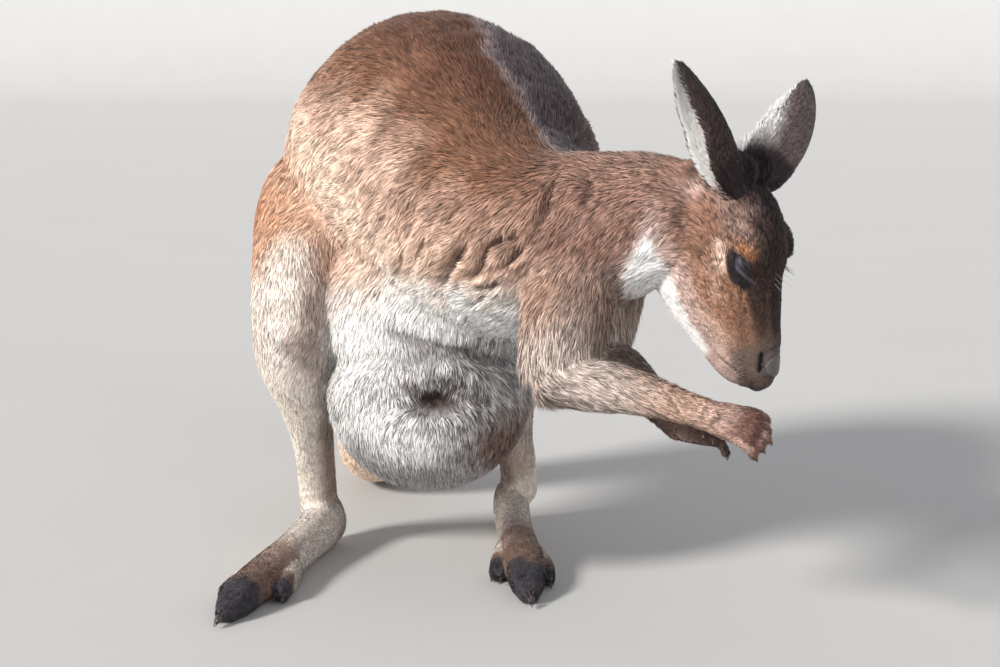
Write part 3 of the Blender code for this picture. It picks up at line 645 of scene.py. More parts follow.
def sculpt(s, points):
    """Folds, lips, nostrils and the pouch's opening pressed into the flesh, as moves along its normals."""
    push = np.zeros(len(points))
    for path, width, depth in FOLDS:
        far, share = near_path(points, path, width * 5)
        ends = np.sin(np.pi * np.clip(share * 0.92 + 0.04, 0, 1)) ** 0.6
        push -= 1.25 * depth * ends * furrow(far, width * 0.9, 0.42, 2.1)
    body = s.of("trunk") + s.of("belly")
    push += body * ((noise(points, 0.045, 21) - 0.5) * 0.0040)
    push += body * (ripple(points) - 0.5) * 0.0024

    local = (points - HEAD_ORIGIN) @ HEAD_AXES
    mirrored = local * np.array((1, 1, -1))
    mirrored[:, 2] = np.abs(local[:, 2])
    s.along, s.rise, s.side = mirrored.T
    for path, width, depth in FACE_FOLDS:
        far, share = near_path(mirrored, path, width * 5)
        push -= depth * np.sin(np.pi * np.clip(share * 0.9 + 0.05, 0, 1)) * furrow(far, width, 0.45, 2.2)
    s.lips, share = near_path(mirrored, MOUTH, 0.012)
    push -= 0.0024 * bell(s.lips, 0.0011) * fall(share, 0.86, 1.0)
    push += 0.0006 * bell(s.lips - 0.0032, 0.0020) * fall(share, 0.8, 1.0)
    s.nostril, share = near_path(mirrored, NOSTRIL, 0.008)
    wide = 0.0011 + 0.0009 * np.sin(np.pi * np.clip(share, 0, 1))
    push -= 0.0042 * bell(s.nostril, wide)
    s.pad = ellipsoid(mirrored, *NOSE_PAD)
    push += 0.0009 * fall(s.pad, 0.75, 1.0) * (1 - bell(s.nostril, 2 * wide))
    push -= 0.0010 * bell(local[:, 2], 0.0009) * fall(s.pad, 0.8, 1.1) * step(-local[:, 1], -0.001, 0.008)
    s.wart = far_from(mirrored, WART)
    push += 0.0016 * bell(s.wart, 0.0022)
    s.eye = far_from(mirrored, EYE)
    s.tuft = far_from(mirrored, TUFT_AT)

    out = points - POUCH_MOUTH
    across = np.array(POUCH_FACING.cross(Vector((0, 0, 1))).normalized())
    rise = np.cross(across, np.array(POUCH_FACING))
    s.aside, s.above = out @ across, out @ rise * np.sign(rise[2])
    s.ring = np.sqrt((s.aside / 0.0200) ** 2 + (s.above / 0.0120) ** 2)
    push += (s.of("pouch") + s.of("belly")) * (
        -0.0190 * np.exp(-(s.ring**2) * 0.9)
        + 0.0022 * np.exp(-((s.ring - 1.9) ** 2) * 2.5)
        + 0.0010 * np.cos(13 * np.arctan2(s.above, s.aside)) * np.exp(-((s.ring - 1.5) ** 2) * 2.0)
    )
    s.push = push


DOWN = np.array((0.0, 0.0, -1.0))
SLACK_DOWN = np.array((0.0, 0.10, -1.0))


def lie_of_coat(s):
    """The way the coat lies at each point, from the ways of the parts that it belongs to."""
    radial = unit(s.points - POUCH_MOUTH)
    flow = np.zeros_like(s.points)
    for part, k in AT.items():
        way = s.ways[:, k]
        if part == "trunk":
            slope = np.clip(1.0 - np.abs(s.top), 0, 1) * 1.0 + 0.15
            way = -way + DOWN * slope[:, None]
        elif part == "head":
            fore = step(s.along, 0.0, 0.03)
            way = -way + np.array(CROWNWARD) * (-0.25 * fore * step(-s.rise, -0.02, 0.03))[:, None]
        elif part == "belly":
            close = 0.35 * radial * step(-s.ring, -4.5, -1.0)[:, None]
            way = SLACK_DOWN + close * step(s.above, -0.002, -0.012)[:, None]
        elif part == "pouch":
            close = step(-s.ring, -4.2, -1.2)
            below = step(-s.above, -0.004, 0.010)
            way = SLACK_DOWN + radial * (close * (1.5 * below - 0.5 * (1 - below)))[:, None]
        elif part.startswith("thigh"):
            way = way * 0.75 + DOWN * 0.7
        elif part.startswith("upper"):
            way = way + DOWN * 0.2
        flow += unit(way) * s.of(part)[:, None]
    return flow


# Length, width, lift in degrees, number to the square metre and unevenness of the tufts, by part.
TUFTS = {
    "trunk": (0.0140, 0.00084, 17, 500e3, 0.25),
    "belly": (0.0140, 0.00088, 20, 500e3, 0.13),
    "pouch": (0.0130, 0.00084, 21, 540e3, 0.16),
    "tail": (0.0105, 0.00090, 16, 380e3, 0.18),
    "thigh": (0.0135, 0.00086, 17, 460e3, 0.19),
    "shank": (0.0078, 0.00072, 15, 620e3, 0.11),
    "foot": (0.0054, 0.00064, 14, 760e3, 0.22),
    "head": (0.0062, 0.00056, 19, 1450e3, 0.26),
    "upper": (0.0155, 0.00092, 23, 540e3, 0.22),
    "fore": (0.0098, 0.00080, 17, 620e3, 0.28),
    "hand": (0.0042, 0.00058, 14, 1000e3, 0.18),
}


def make_of_tufts(s):
    """The five measures of the tufts at each point, changed along the parts."""
    x, _, z = s.points.T
    made = np.zeros((len(s.points), 5))
    for part, k in AT.items():
        kind = part.split("_")[0]
        rows = np.tile(np.array(TUFTS[kind]), (len(s.points), 1))
        length, width, lift, density, uneven = rows.T
        t = s.share[:, k]
        if kind == "trunk":
            neck = step(t, 0.74, 0.90)
            length *= 1 - 0.25 * neck
            width *= 1 - 0.15 * neck
            lift += 14 * neck * step(s.top, 0.2, 0.9)
            density *= 1 + 0.25 * neck
            uneven += 0.07 * neck
        elif kind == "tail":
            length *= 1.2 - 0.5 * t
        elif kind == "pouch":
            lift += 14 * step(-s.ring, -3.2, -1.6)
            uneven += 0.22 * step(-s.ring, -5.0, -1.5) + 0.16 * step(x, -0.075, -0.03)
        elif kind == "belly":
            uneven += 0.25 * step(-z, -0.300, -0.270) * step(x, -0.10, -0.06)
        elif kind == "shank":
            length *= 1.35 - 0.55 * t
        elif kind == "foot":
            length *= 1.0 + 0.45 * step(t, 0.72, 0.95)
        elif kind == "upper":
            length *= 0.9 + 0.5 * step(t, 0.35, 0.95)
            uneven += 0.10 * step(t, 0.5, 0.9)
        elif kind == "fore":
            length *= 1.6 - 0.95 * t
        elif kind == "head":
            length *= 1.45 - 0.65 * step(s.along, 0.0, 0.06) - 0.42 * step(s.along, 0.08, 0.15)
            width *= 1.2 - 0.35 * step(s.along, 0.06, 0.14)
            crown = 12 * step(s.rise, 0.010, 0.035) * fall(s.along, 0.05, 0.08)
            lift += crown - 6 * step(s.along, 0.09, 0.14)
            density *= 0.75 + 0.55 * step(s.along, 0.05, 0.12)
            upper = 0.22 * step(s.rise, 0.0, 0.02) * fall(s.along, 0.060, 0.080)
            uneven += upper - 0.10 * step(s.along, 0.10, 0.15)
        made += rows * s.of(part)[:, None]
    return made.T.copy()


# Where the painted shade over the back's far side begins, over its somewhat darker midline fur: share of the
# way along the trunk, and how far round it.
BACK_SHADE_EDGE = (
    (0.0, 0.36, 0.41, 0.46, 0.50, 0.53, 0.55, 0.59, 0.64, 0.73, 0.81, 0.85, 1.0),
    (0.0, 0.10, 0.18, 0.28, 0.38, 0.32, 0.28, 0.21, 0.07, 0.12, 0.42, 0.49, 0.49),
)
# Where the bridge's dark fur and its painted shade end: along the head, and how far up its side.
BRIDGE_SHADE_EDGE = ((0.058, 0.068, 0.085, 0.100, 0.140, 0.170), (0.036, 0.025, 0.010, 0.005, -0.003, -0.010))
# Where the white throat ends, in the same way.
THROAT_EDGE = (
    (0.0, 0.020, 0.045, 0.065, 0.100, 0.126, 0.150),
    (-0.052, -0.042, -0.040, -0.045, -0.049, -0.043, -0.046),
)


def face_colours(s):
    """The markings of the head from the crown to the lips, with painted shade on the forehead, brows and
    bridge and a painted highlight along the bridge's edge.
    """
    along, rise, side = s.along, s.rise, s.side
    rough = s.rough - 0.5
    place = np.stack([along, rise, side], axis=1)

    def by(reach, *path):
        """Strong along a line of places, which is in millimetres like its reach."""
        far, _ = near_path(place, mm(*path), reach / 1000 * 2.5)
        return bell(far, reach / 1000)

    inward = step(-side + 0.004 * rough, -0.036, -0.012)
    bridge_shade = step(rise - np.interp(along, *BRIDGE_SHADE_EDGE) + 0.004 * rough, 0.0, 0.011) * step(along, 0.060, 0.072)
    mound = ellipsoid(place, EAR_MOUND, (0.027, 0.026, 0.024)) + 0.3 * rough
    crown = step(-along + 0.006 * rough, -0.010, 0.004) * step(rise, 0.004, 0.014)
    return paint(
        FACE,
        (BROWN, 0.4 * step(s.patch, 0.3, 0.8)),
        (NECK * 1.06, fall(along, -0.004, 0.022)),
        (srgb(150, 124, 116), 0.75 * step(rise, 0.006, 0.020) * fall(along, 0.050, 0.075)),
        # Painted shade on the forehead by the midline, and on the inner brows.
        (srgb(84, 68, 67), inward * step(rise, 0.010, 0.024)),
        (NIGHT, step(-side, -0.020, -0.008) * step(rise, 0.016, 0.030) * fall(along, 0.10, 0.13)),
        # Dark bridge: dark fur with painted shade over it.
        (BRIDGE, 0.92 * bridge_shade),
        # Painted highlight along the edge of the bridge.
        (srgb(128, 98, 84), 0.55 * by(2.6, (98, 27, 15.5), (120, 18.5, 14), (146, 10, 11.5))),
        (NIGHT, np.maximum(crown, fall(mound, 0.85, 1.15))),
        (srgb(168, 108, 62), 0.75 * by(4.6, (52, 18, 44), (60, 25, 43), (70, 32, 40))),
        # Painted shade on the top of the brows.
        (BRIDGE, 0.85 * step(rise, 0.032, 0.041) * step(along, 0.030, 0.042) * fall(along, 0.085, 0.095)),
        (MUZZLE, 0.38 * by(8.5, (36, 10, 46), (46, 20, 44), (52, 28, 42))),
        (MUZZLE, 0.55 * by(6.5, (118, -2, 29), (130, -5, 26), (148, -12, 22))),
        (srgb(236, 206, 186), 0.90 * by(5.4, (52, 6, 45.5), (62, 3, 45), (72, 0, 44))),
        (CHEEK * 1.1, 0.88 * by(10.5, (106, -42, 33), (118, -31, 31), (132, -27, 27), (146, -34, 22))),
        (CHEEK, 0.50 * by(7, (68, -10, 45), (80, -8, 42), (94, -14, 38))),
        (MUZZLE, 0.30 * by(6, (54, -16, 46), (62, -18, 46))),
        (MUZZLE, 0.40 * by(4.2, (94, 0, 39), (102, 1, 36), (112, 2, 32))),
        (SNOUT, step(along, 0.136, 0.154) * step(rise, -0.036, -0.022)),
        (srgb(86, 70, 64), 0.8 * step(along, 0.156, 0.168) * step(-rise, 0.002, 0.020)),
        (DARK, 0.8 * bell(s.lips, 0.0026)),
    )


def trunk_colours(s, t, right, turn):
    x = s.points[:, 0]
    rough, patch = s.rough - 0.5, s.patch - 0.5
    low = -turn + 0.28 * patch
    shade_edge = np.interp(t, *BACK_SHADE_EDGE)
    shade = step(shade_edge + 0.10 * rough - right, -0.03, 0.05) * step(right + 0.12 * patch, -1.0, -0.15)
    # Painted shade over the back's far side: lighter grey by the ridge, darker further round, rosier towards
    # the neck.
    shaded_back = paint(SLATE, (FROST, fall(shade_edge - right, 0.0, 0.18)), (ROSE, 0.6 * step(t, 0.68, 0.78)))
    throat = paint(
        NECK,
        (FAWN * 0.8, 0.35 * step(turn, 0.5, 1.0) * step(t, 0.82, 0.92)),
        (CHEST, 0.75 * step(-turn, 0.30, 0.75)),
    )
    return paint(
        UMBER,
        (BROWN, step(low, -0.90, -0.40)),
        (FAWN, step(low, -0.55, 0.0)),
        (PALE, step(-x + 0.03 * patch, 0.098, 0.190) * step(low, -0.30, 0.42)),
        (PALE, 0.55 * step(low, 0.25, 0.65) * step(-x, 0.0, 0.10)),
        (CREAM, step(low, 0.60, 0.82)),
        (WHITE, step(low, 0.78, 0.92)),
        (RUST, 0.45 * step(-t, -0.20, -0.02)),
        (BROWN, 0.5 * step(t, 0.55, 0.66) * step(-low, -0.35, 0.0)),
        # Painted shade on the back's far side.
        (shaded_back, shade * step(turn, 0.1, 0.5) * step(t, 0.16, 0.44) * fall(t, 0.80, 0.86)),
        (throat, step(t + 0.05 * patch, 0.70, 0.82)),
    )


def part_colours(s, part, k):
    """The coat's colours over one part, as if every point belonged to it."""
    x, y, z = s.points.T
    t, right, turn = s.share[:, k], s.round[:, k, 0], s.round[:, k, 1]
    rough, patch = s.rough - 0.5, s.patch - 0.5
    kind = part.split("_")[0]
    if kind == "trunk":
        return trunk_colours(s, t, right, turn)
    if kind == "head":
        return face_colours(s)
    inner = right * SIDES.get(part[-1], 0)
    if kind == "belly":
        shade = 0.80 * step(-z, -0.290, -0.268) * step(x, -0.135, -0.075) * step(s.rough, 0.0, 0.6)
        return paint(
            FAWN,
            (CREAM * 0.86, step(-z + 0.03 * patch, -0.352, -0.330)),
            (WHITE, step(-z + 0.03 * patch, -0.335, -0.305)),
            (ASH * 0.8, shade),
        )
    if kind == "pouch":
        arc = bell(s.ring - 1.9, 0.5) * step(s.above - 0.5 * s.aside, -0.010, 0.008)
        return paint(
            WHITE * 0.93,
            (ASH, 0.10 + 0.30 * step(s.patch, 0.35, 0.8)),
            (ASH, 0.50 * step(x, -0.095, -0.030) * step(s.rough, 0.1, 0.7)),
            (ASH, 0.62 * step(-z + 0.02 * patch, -0.190, -0.145)),
            (srgb(112, 80, 64), 0.85 * step(x + 0.03 * patch, -0.050, 0.005) * step(-z, -0.240, -0.185)),
            (DARK, 0.70 * arc * step(s.rough, 0.10, 0.5)),
            (DARK, 0.6 * step(-s.ring, -1.7, -1.1)),
        )
    if kind == "tail":
        return paint(
            srgb(246, 208, 180),
            (BROWN, 0.6 * step(turn, -0.2, 0.7) * fall(-y, -0.31, -0.27)),
            (DARK, 0.75 * step(t, 0.55, 0.95)),
        )
    if kind == "thigh":
        return paint(
            BROWN,
            (RUST, step(t, 0.10, 0.35)),
            (TAWNY, step(t + 0.15 * patch, 0.30, 0.60)),
            (CREAM, step(t + 0.15 * patch, 0.62, 0.92)),
            # Painted shade on the thigh's inner side, towards the belly.
            (CINNAMON * 0.62, 0.70 * step(inner, 0.30, 0.80) * step(t, 0.3, 0.6)),
        )
    if kind == "shank":
        # The far shank is darkened over its middle: painted shadow from the pouch.
        far_leg_shadow = 0.5 if part == "shank_l" else 0.0
        return paint(
            srgb(252, 238, 222),
            (CREAM, 0.5 * step(s.patch, 0.3, 0.7)),
            (CINNAMON, 0.20 * step(s.rough, 0.50, 0.9)),
            # Painted shade on the shank's inner side.
            (CINNAMON * 0.62, 0.75 * step(inner, 0.15, 0.80)),
            # Painted shadow from the pouch on the far shank.
            (CINNAMON * 0.55, far_leg_shadow * step(t, 0.2, 0.4) * step(-t, -0.9, -0.7)),
        )
    if kind == "foot":
        under = step(-s.normals[:, 2], -0.6, 0.2)
        return paint(
            CREAM,
            (CINNAMON * 0.85, step(t - 0.10 * under, 0.36, 0.50) * (0.60 + 0.40 * s.rough)),
            (srgb(118, 84, 66), 0.75 * step(t - 0.05 * under, 0.50, 0.66)),
            (srgb(72, 68, 74), step(t + 0.10 * rough, 0.72, 0.80)),
        )
    if kind == "upper":
        return paint(
            NECK,
            (CINNAMON * 0.95, step(t, 0.05, 0.40)),
            # Greyer and darker round one side of the arm's lower half: greyer fur with painted shade.
            (CHEST, 0.55 * step(t, 0.30, 0.60) * step(-right, -0.45, 0.1)),
            (SILVER, step(t + 0.15 * patch, 0.52, 0.86)),
        )
    # The far forearm and hand are darkened: painted shadow from the near arm.
    far_arm_shadow = 0.55 if part.endswith("_l") else 0.0
    if kind == "fore":
        return paint(
            SILVER * 0.97,
            (srgb(190, 156, 136), step(t + 0.15 * rough, 0.30, 0.68)),
            (srgb(188, 154, 140), 0.7 * step(t, 0.75, 1.0)),
            (MUZZLE, far_arm_shadow),
        )
    return paint(srgb(186, 152, 138), (HAND, 0.9 * step(t, 0.45, 0.85)), (MUZZLE, far_arm_shadow))


def body_colours(s):
    """The colours of all parts together, then the markings that cross from part to part, with painted shade
    where the flesh is pressed in and painted light on the throat.
    """
    colour = np.zeros_like(s.points)
    for part, k in AT.items():
        colour += part_colours(s, part, k) * s.of(part)[:, None]
    along, rise, side = s.along, s.rise, s.side
    rough = s.rough - 0.5
    t = s.share[:, AT["trunk"]]
    trunk, head = s.of("trunk"), s.of("head")
    front = trunk + head
    fore = step(t, 0.84, 0.90)
    rosy = step(along, -0.026, 0.008) * step(-rise, 0.018, 0.044) * step(rise + along, -0.050, -0.030)
    throat = step(np.interp(along, *THROAT_EDGE) - rise + 0.006 * rough, -0.003, 0.008)
    throat = throat * step(along + 0.006 * rough, 0.002, 0.026)
    throat *= step(rise + along, -0.040, -0.026) * fall(along, 0.135, 0.155)
    # The white throat gets fewer darker tufts and is lifted above white below: painted light for the light
    # thrown up from the ground.
    s.grizzle = s.grizzle * (1 - 0.6 * throat * front)
    crease, _ = near_path(s.points, EAR_CREASE, 0.02)
    flank = trunk * step(t, 0.30, 0.42) * fall(np.abs(s.top + 0.1), 0.45, 0.75)
    lids = np.sqrt(((along - 0.0785) / 0.0215) ** 2 + ((rise - 0.0130) / 0.0100) ** 2)
    colour = paint(
        colour,
        (ROSE, 0.85 * rosy * front * fore),
        # Painted light: the throat's white lifted above white.
        (WHITE * 1.16, throat * front * fore),
        (DARK, 0.70 * bell(crease, 0.0060)),
        (TUFT, 0.85 * front * bell(s.tuft, 0.0095)),
        # Painted shade where the flesh of the trunk and belly is pressed in, as in its folds.
        (DARK, 0.55 * step(-s.push, 0.0008, 0.0045) * (trunk + s.of("belly"))),
        # Painted shade along the pressed-in streaks of the flank's ripple.
        (UMBER, 0.36 * flank * step(-ripple(s.points), -0.44, -0.24)),
        # Painted shade where the head's flesh is pressed in: its folds, lips and nostrils, fading away from
        # the nose.
        (DARK, 0.65 * head * step(-s.push, 0.0004, 0.0015) * step(-s.pad, -9.0, -1.3)),
        (srgb(44, 38, 42), head * fall(lids, 0.78, 1.02) * step(side, 0.018, 0.026)),
        (DARK, 0.8 * bell(s.wart, 0.0028)),
        (srgb(90, 80, 78), fall(s.pad, 0.95, 1.40) * head),
        (BLACK * 0.25, head * bell(s.nostril, 0.0026)),
        (srgb(50, 31, 28), step(-s.ring, -1.25, -0.85) * s.of("pouch")),
    )
    colour = colour * (1 + (0.30 * (noise(s.points, 0.0065, 31) - 0.5) * head)[:, None])
    grey = colour.mean(axis=1, keepdims=True)
    return grey + (colour - grey) * 0.94


def body_surface():
    s = Surface()
    points = points_of(flesh.data)
    points[:, 2] = np.maximum(points[:, 2], 0.0)
    s.faces = triangles_of(flesh.data)
    s.weights, s.share, s.round, s.ways = survey(points)
    s.right, s.top = s.round[:, AT["trunk"]].T
    sculpt(s, points)
    s.points = points + normals_of(points, s.faces) * s.push[:, None]
    s.normals = normals_of(s.points, s.faces)
    s.rough, s.patch = noise(s.points, 0.010, 1), noise(s.points, 0.035, 2)
    s.flow = lie_of_coat(s)
    s.length, s.width, s.lift, s.density, s.grizzle = make_of_tufts(s)
    s.colour = body_colours(s)

    # Bare places: soles, nose, lids, lips and the pouch's opening.
    head = s.of("head")
    bare = np.maximum.reduce([
        step(-s.normals[:, 2], 0.75, 0.95) * step(-s.points[:, 2], -0.012, -0.004),
        fall(s.pad, 0.92, 1.0) * head,
        fall(s.eye, LID_REACH - 0.002, LID_REACH) * head,
        bell(s.lips, 0.0010) * head,
        step(-s.ring, -1.25, -1.0) * s.of("pouch"),
    ])
    s.coat = 1 - bare
    lift = np.radians(s.lift)
    s.depth = 0.5 * s.length * (np.sin(lift) + np.sin(0.4 * lift)) * 1.05 * (1 - bare * step(s.pad, 0.9, 1.0))
    return s


def add_ear(side, steps=56, wide=34):
    """The ear's leaf-shaped cup as rings of an outer and an inner wall."""
    s = Surface()
    shape = EAR_SHAPE[side]
    root = head_point(*EAR_ROOT, SIDES[side])
    tip = head_point(*shape["tip"], SIDES[side])
    along = (tip - root).normalized()
    mouth = Vector(shape["mouth"])
    mouth = (mouth - along * mouth.dot(along)).normalized()
    across = along.cross(mouth)
    length = (tip - root).length
    ring = 2 * wide + 2
    points, marks = [], []
    for i in range(steps + 1):
        t = -EAR_SUNK + (1 + EAR_SUNK) * i / steps
        leaf = math.sin(math.pi * (0.14 + 0.83 * max(t, 0)) ** 1.05) ** shape["fullness"]
        leaf = max(0.12, leaf) * (1 + 5.0 * min(t, 0))
        half, depth = shape["width"] * leaf, shape["depth"] * leaf
        reach = math.radians(128 - 40 * min(1.0, max(t, 0) / 0.5))
        centre = root + along * (length * t) + mouth * (shape["shift"] * leaf)
        for number, k in enumerate(list(range(wide + 1)) + list(range(wide, -1, -1))):
            inside = number > wide
            signed = -1 + 2 * k / wide
            arc = reach * signed
            if arc > 0:
                arc = min(math.radians(152), arc * shape["overlap"])
            normal = (across * math.sin(arc) * depth - mouth * math.cos(arc) * half).normalized()
            point = centre + across * math.sin(arc) * half - mouth * math.cos(arc) * depth
            thick = EAR_WALL * 0.34 * (1 - 0.35 * t) * math.sqrt(max(0.02, 1 - abs(signed) ** 8))
            points.append(tuple(point + normal * (-thick if inside else thick)))
            marks.append((float(inside), t, signed))
    faces = []
    for i in range(steps):
        for k in range(ring):
            faces += quad(i * ring + k, i * ring + (k + 1) % ring, ring)
    last = steps * ring
    for k in range(wide):
        a, b = last + k, last + k + 1
        c, d = last + ring - 1 - k, last + ring - 2 - k
        faces += [(a, b, d), (a, d, c)]
    s.points, s.faces = np.array(points), np.array(faces)
    s.normals = normals_of(s.points, s.faces)
    outward = s.points[: wide + 1].mean(0) - s.points[wide + 1 : ring].mean(0)
    if outward @ s.normals[wide // 2] < 0:
        s.faces = s.faces[:, ::-1]
        s.normals = -s.normals
    inner, share, signed = np.array(marks).T
    is_inner = inner > 0.5
    s.flow = np.array(along) + np.array(mouth) * (0.35 * inner)[:, None]
    rough = noise(s.points, 0.012, 5)
    uneven = rough - 0.5
    rim = step(np.abs(signed), 0.55, 0.98)
    margin = np.clip(signed, 0, 1) * (0.13 if side == "l" else 0.0)
    base = step(-share - margin + 0.05 * uneven, -0.24, -0.12)
    s.length = np.where(is_inner, 0.0045 + 0.0025 * rim, 0.0040 + 0.0025 * rim + 0.006 * base)
    s.width = np.where(is_inner, 0.00060, 0.00065)
    s.lift = np.where(is_inner, 20.0, 12.0 + 16 * rim)
    s.density = np.where(is_inner, 600e3 + 700e3 * rim, 1200e3)
    s.grizzle = np.where(is_inner, 0.08 if side == "r" else 0.16, 0.22)
    s.coat = np.ones(len(inner))
    s.depth = np.zeros(len(inner))

    if side == "r":
        back, lining, bound = srgb(70, 56, 54), srgb(66, 53, 52) * 1.2, 0.35 + 0 * share
    else:
        back, lining, bound = srgb(112, 96, 94), srgb(98, 86, 90), 0.32 - 1.6 * np.maximum(0, share - 0.35)
    lip = step(signed + 0.22 * uneven, bound, bound + 0.30)
    # The white inside of the ear is lifted above white: painted light.
    pale = paint(
        WHITE * 1.25,
        (PINK, 0.22 * (1 - rim) * step(rough, 0.2, 0.8)),
        (lining, lip),
        (TUFT, 0.8 * step(-share, -0.10, -0.01) * (1 - lip)),
    )
    dark = paint(back, (BLACK * 0.8, step(share, 0.80, 0.98)))
    if side == "l":
        # The far ear shows the camera the outside of its near margin, which is white.
        bound = np.interp(share, (0.05, 0.20, 0.42, 0.60, 0.72), (0.80, 0.66, 0.74, 0.95, 1.30))
        dark = mix(dark, WHITE * 1.05, step(signed + 0.20 * uneven, bound, bound + 0.40))
        pale = mix(pale, NIGHT * 1.2, 0.95 * base)
    dark = mix(dark, NIGHT * 1.2, 0.95 * base)
    s.colour = np.where(is_inner[:, None], pale, dark)
    return s


BODY = body_surface()
EARS = [add_ear(side) for side in SIDES]
SURFACES = (BODY, *EARS)
bpy.data.objects.remove(flesh)
for surface in SURFACES:
    surface.points = surface.points + np.array(SHIFT)


def shifted(*place):
    """A point of the head, in the solids' frame."""
    return head_point(*place) + SHIFT


# ---------------------------------------------------------------- meshes and their map
def make_object(name, points, faces, colours=None, uv=None, normals=None):
    mesh = bpy.data.meshes.new(name)
    mesh.vertices.add(len(points))
    mesh.vertices.foreach_set("co", np.asarray(points, np.float32).ravel())
    mesh.loops.add(len(faces) * 3)
    mesh.loops.foreach_set("vertex_index", np.asarray(faces, np.int32).ravel())
    mesh.polygons.add(len(faces))
    mesh.polygons.foreach_set("loop_start", np.arange(0, len(faces) * 3, 3, dtype=np.int32))
    mesh.update(calc_edges=True)
    mesh.shade_smooth()
    if colours is not None:
        layer = mesh.color_attributes.new("coat", "FLOAT_COLOR", "POINT")
        rgba = np.concatenate([np.clip(colours, 0, 1), np.ones((len(colours), 1))], axis=1)
        layer.data.foreach_set("color", rgba.astype(np.float32).ravel())
    if uv is not None:
        layer = mesh.uv_layers.new(name="OFBake")
        layer.uv.foreach_set("vector", np.asarray(uv, np.float32).ravel())
    if normals is not None:
        mesh.normals_split_custom_set_from_vertices(normals)
    return add_object(name, mesh)


class Unwrap:
    """A plain unwrap of one stretch of skin, from which finer things take their places."""

    def __init__(self, points, faces, most=3200):
        obj = make_object("unwrap", points, faces)
        if len(faces) > most:
            modify(obj, "DECIMATE", ratio=most / len(faces))
            settled(obj)
        obj.data.uv_layers.new(name="OFBake")
        bpy.ops.object.select_all(action="DESELECT")
        obj.select_set(True)
        bpy.context.view_layer.objects.active = obj
        bpy.ops.object.mode_set(mode="EDIT")
        bpy.ops.mesh.select_all(action="SELECT")
        bpy.ops.uv.smart_project(angle_limit=math.radians(60), island_margin=0.004)
        bpy.ops.object.mode_set(mode="OBJECT")
        mesh = obj.data
        self.places = points_of(mesh)[triangles_of(mesh)]
        loops = read(mesh.loop_triangles, "loops", 3)
        self.uv = read(mesh.uv_layers["OFBake"].uv, "vector", 2, np.float32)[loops].astype(float)
        corners = self.places.reshape(-1, 3)
        self.tree = BVHTree.FromPolygons(corners.tolist(), np.arange(len(corners)).reshape(-1, 3).tolist())
        bpy.data.objects.remove(obj)

    def nearest(self, points):
        return np.array([self.tree.find_nearest(p)[2] for p in points.tolist()])

    def map(self, points, chosen):
        """Where the points lie on the map, by the triangles chosen for them."""
        a, b, c = (self.places[chosen][:, k] for k in range(3))
        e, f, q = b - a, c - a, points - a
        ee, ef, ff = (e * e).sum(1), (e * f).sum(1), (f * f).sum(1)
        qe, qf = (q * e).sum(1), (q * f).sum(1)
        base = np.maximum(ee * ff - ef * ef, 1e-16)
        v, w = (ff * qe - ef * qf) / base, (ee * qf - ef * qe) / base
        uv = self.uv[chosen]
        found = uv[:, 0] + v[:, None] * (uv[:, 1] - uv[:, 0]) + w[:, None] * (uv[:, 2] - uv[:, 0])
        return np.clip(found, 0.0005, 0.9995)


def material(name, colour, roughness, specular, sheen=0.0, coat=0.0, grain=400, bump=0.0002, mottle=0.0):
    """A procedural material, mottled and roughened by noise; with no colour it takes the mesh's own."""
    made = bpy.data.materials.new(name)
    made.use_nodes = True
    nodes, links = made.node_tree.nodes, made.node_tree.links

    def node(kind, **numbers):
        found = nodes.new("ShaderNode" + kind)
        for socket, number in numbers.items():
            found.inputs[socket.replace("_", " ")].default_value = number
        return found

    shader = nodes["Principled BSDF"]
    shader.inputs["Specular IOR Level"].default_value = specular
    shader.inputs["Sheen Weight"].default_value = sheen
    shader.inputs["Sheen Roughness"].default_value = 0.45
    shader.inputs["Coat Weight"].default_value = coat
    shader.inputs["Coat Roughness"].default_value = 0.08
    fine = node("TexNoise", Scale=grain, Detail=4)
    links.new(node("TexCoord").outputs["Object"], fine.inputs["Vector"])
    if colour is None:
        base = node("VertexColor")
        base.layer_name = "coat"
    else:
        base = node("RGB")
        base.outputs[0].default_value = (*colour, 1)
    ramp = node("MapRange", From_Min=0.3, From_Max=0.7, To_Min=1 - mottle, To_Max=1 + mottle)
    links.new(fine.outputs["Fac"], ramp.inputs["Value"])
    tint = node("VectorMath")
    tint.operation = "SCALE"
    links.new(base.outputs["Color"], tint.inputs[0])
    links.new(ramp.outputs["Result"], tint.inputs["Scale"])
    links.new(tint.outputs["Vector"], shader.inputs["Base Color"])
    rough = node("MapRange", To_Min=max(0.02, roughness - 0.08), To_Max=min(1, roughness + 0.08))
    links.new(fine.outputs["Fac"], rough.inputs["Value"])
    links.new(rough.outputs["Result"], shader.inputs["Roughness"])
    raised = node("Bump", Strength=0.6, Distance=bump)
    links.new(fine.outputs["Fac"], raised.inputs["Height"])
    links.new(raised.outputs["Normal"], shader.inputs["Normal"])
    return made


COAT = material("coat", None, 0.62, 0.22, sheen=0.12, grain=900, mottle=0.06)
SKIN = material("skin", None, 0.72, 0.2, sheen=0.1, grain=700, bump=0.0006, mottle=0.14)
HORN = material("claw horn", srgb(72, 66, 62), 0.42, 0.4, grain=260, bump=0.0003, mottle=0.35)
EYEBALL = material("eye", srgb(30, 20, 15), 0.10, 0.5, coat=1.0, grain=300, bump=0.00002, mottle=0.3)
LID = material("eyelid", srgb(46, 40, 43), 0.50, 0.35, grain=900, bump=0.0004, mottle=0.22)
NOSE = material("nose", srgb(88, 80, 79), 0.40, 0.5, grain=900, bump=0.0010, mottle=0.35)
WHISKER = material("whisker", srgb(196, 188, 180), 0.4, 0.4, grain=600, bump=0.00005, mottle=0.05)
LASH = material("eyelash", srgb(62, 58, 68), 0.38, 0.5, grain=600, bump=0.00005, mottle=0.1)
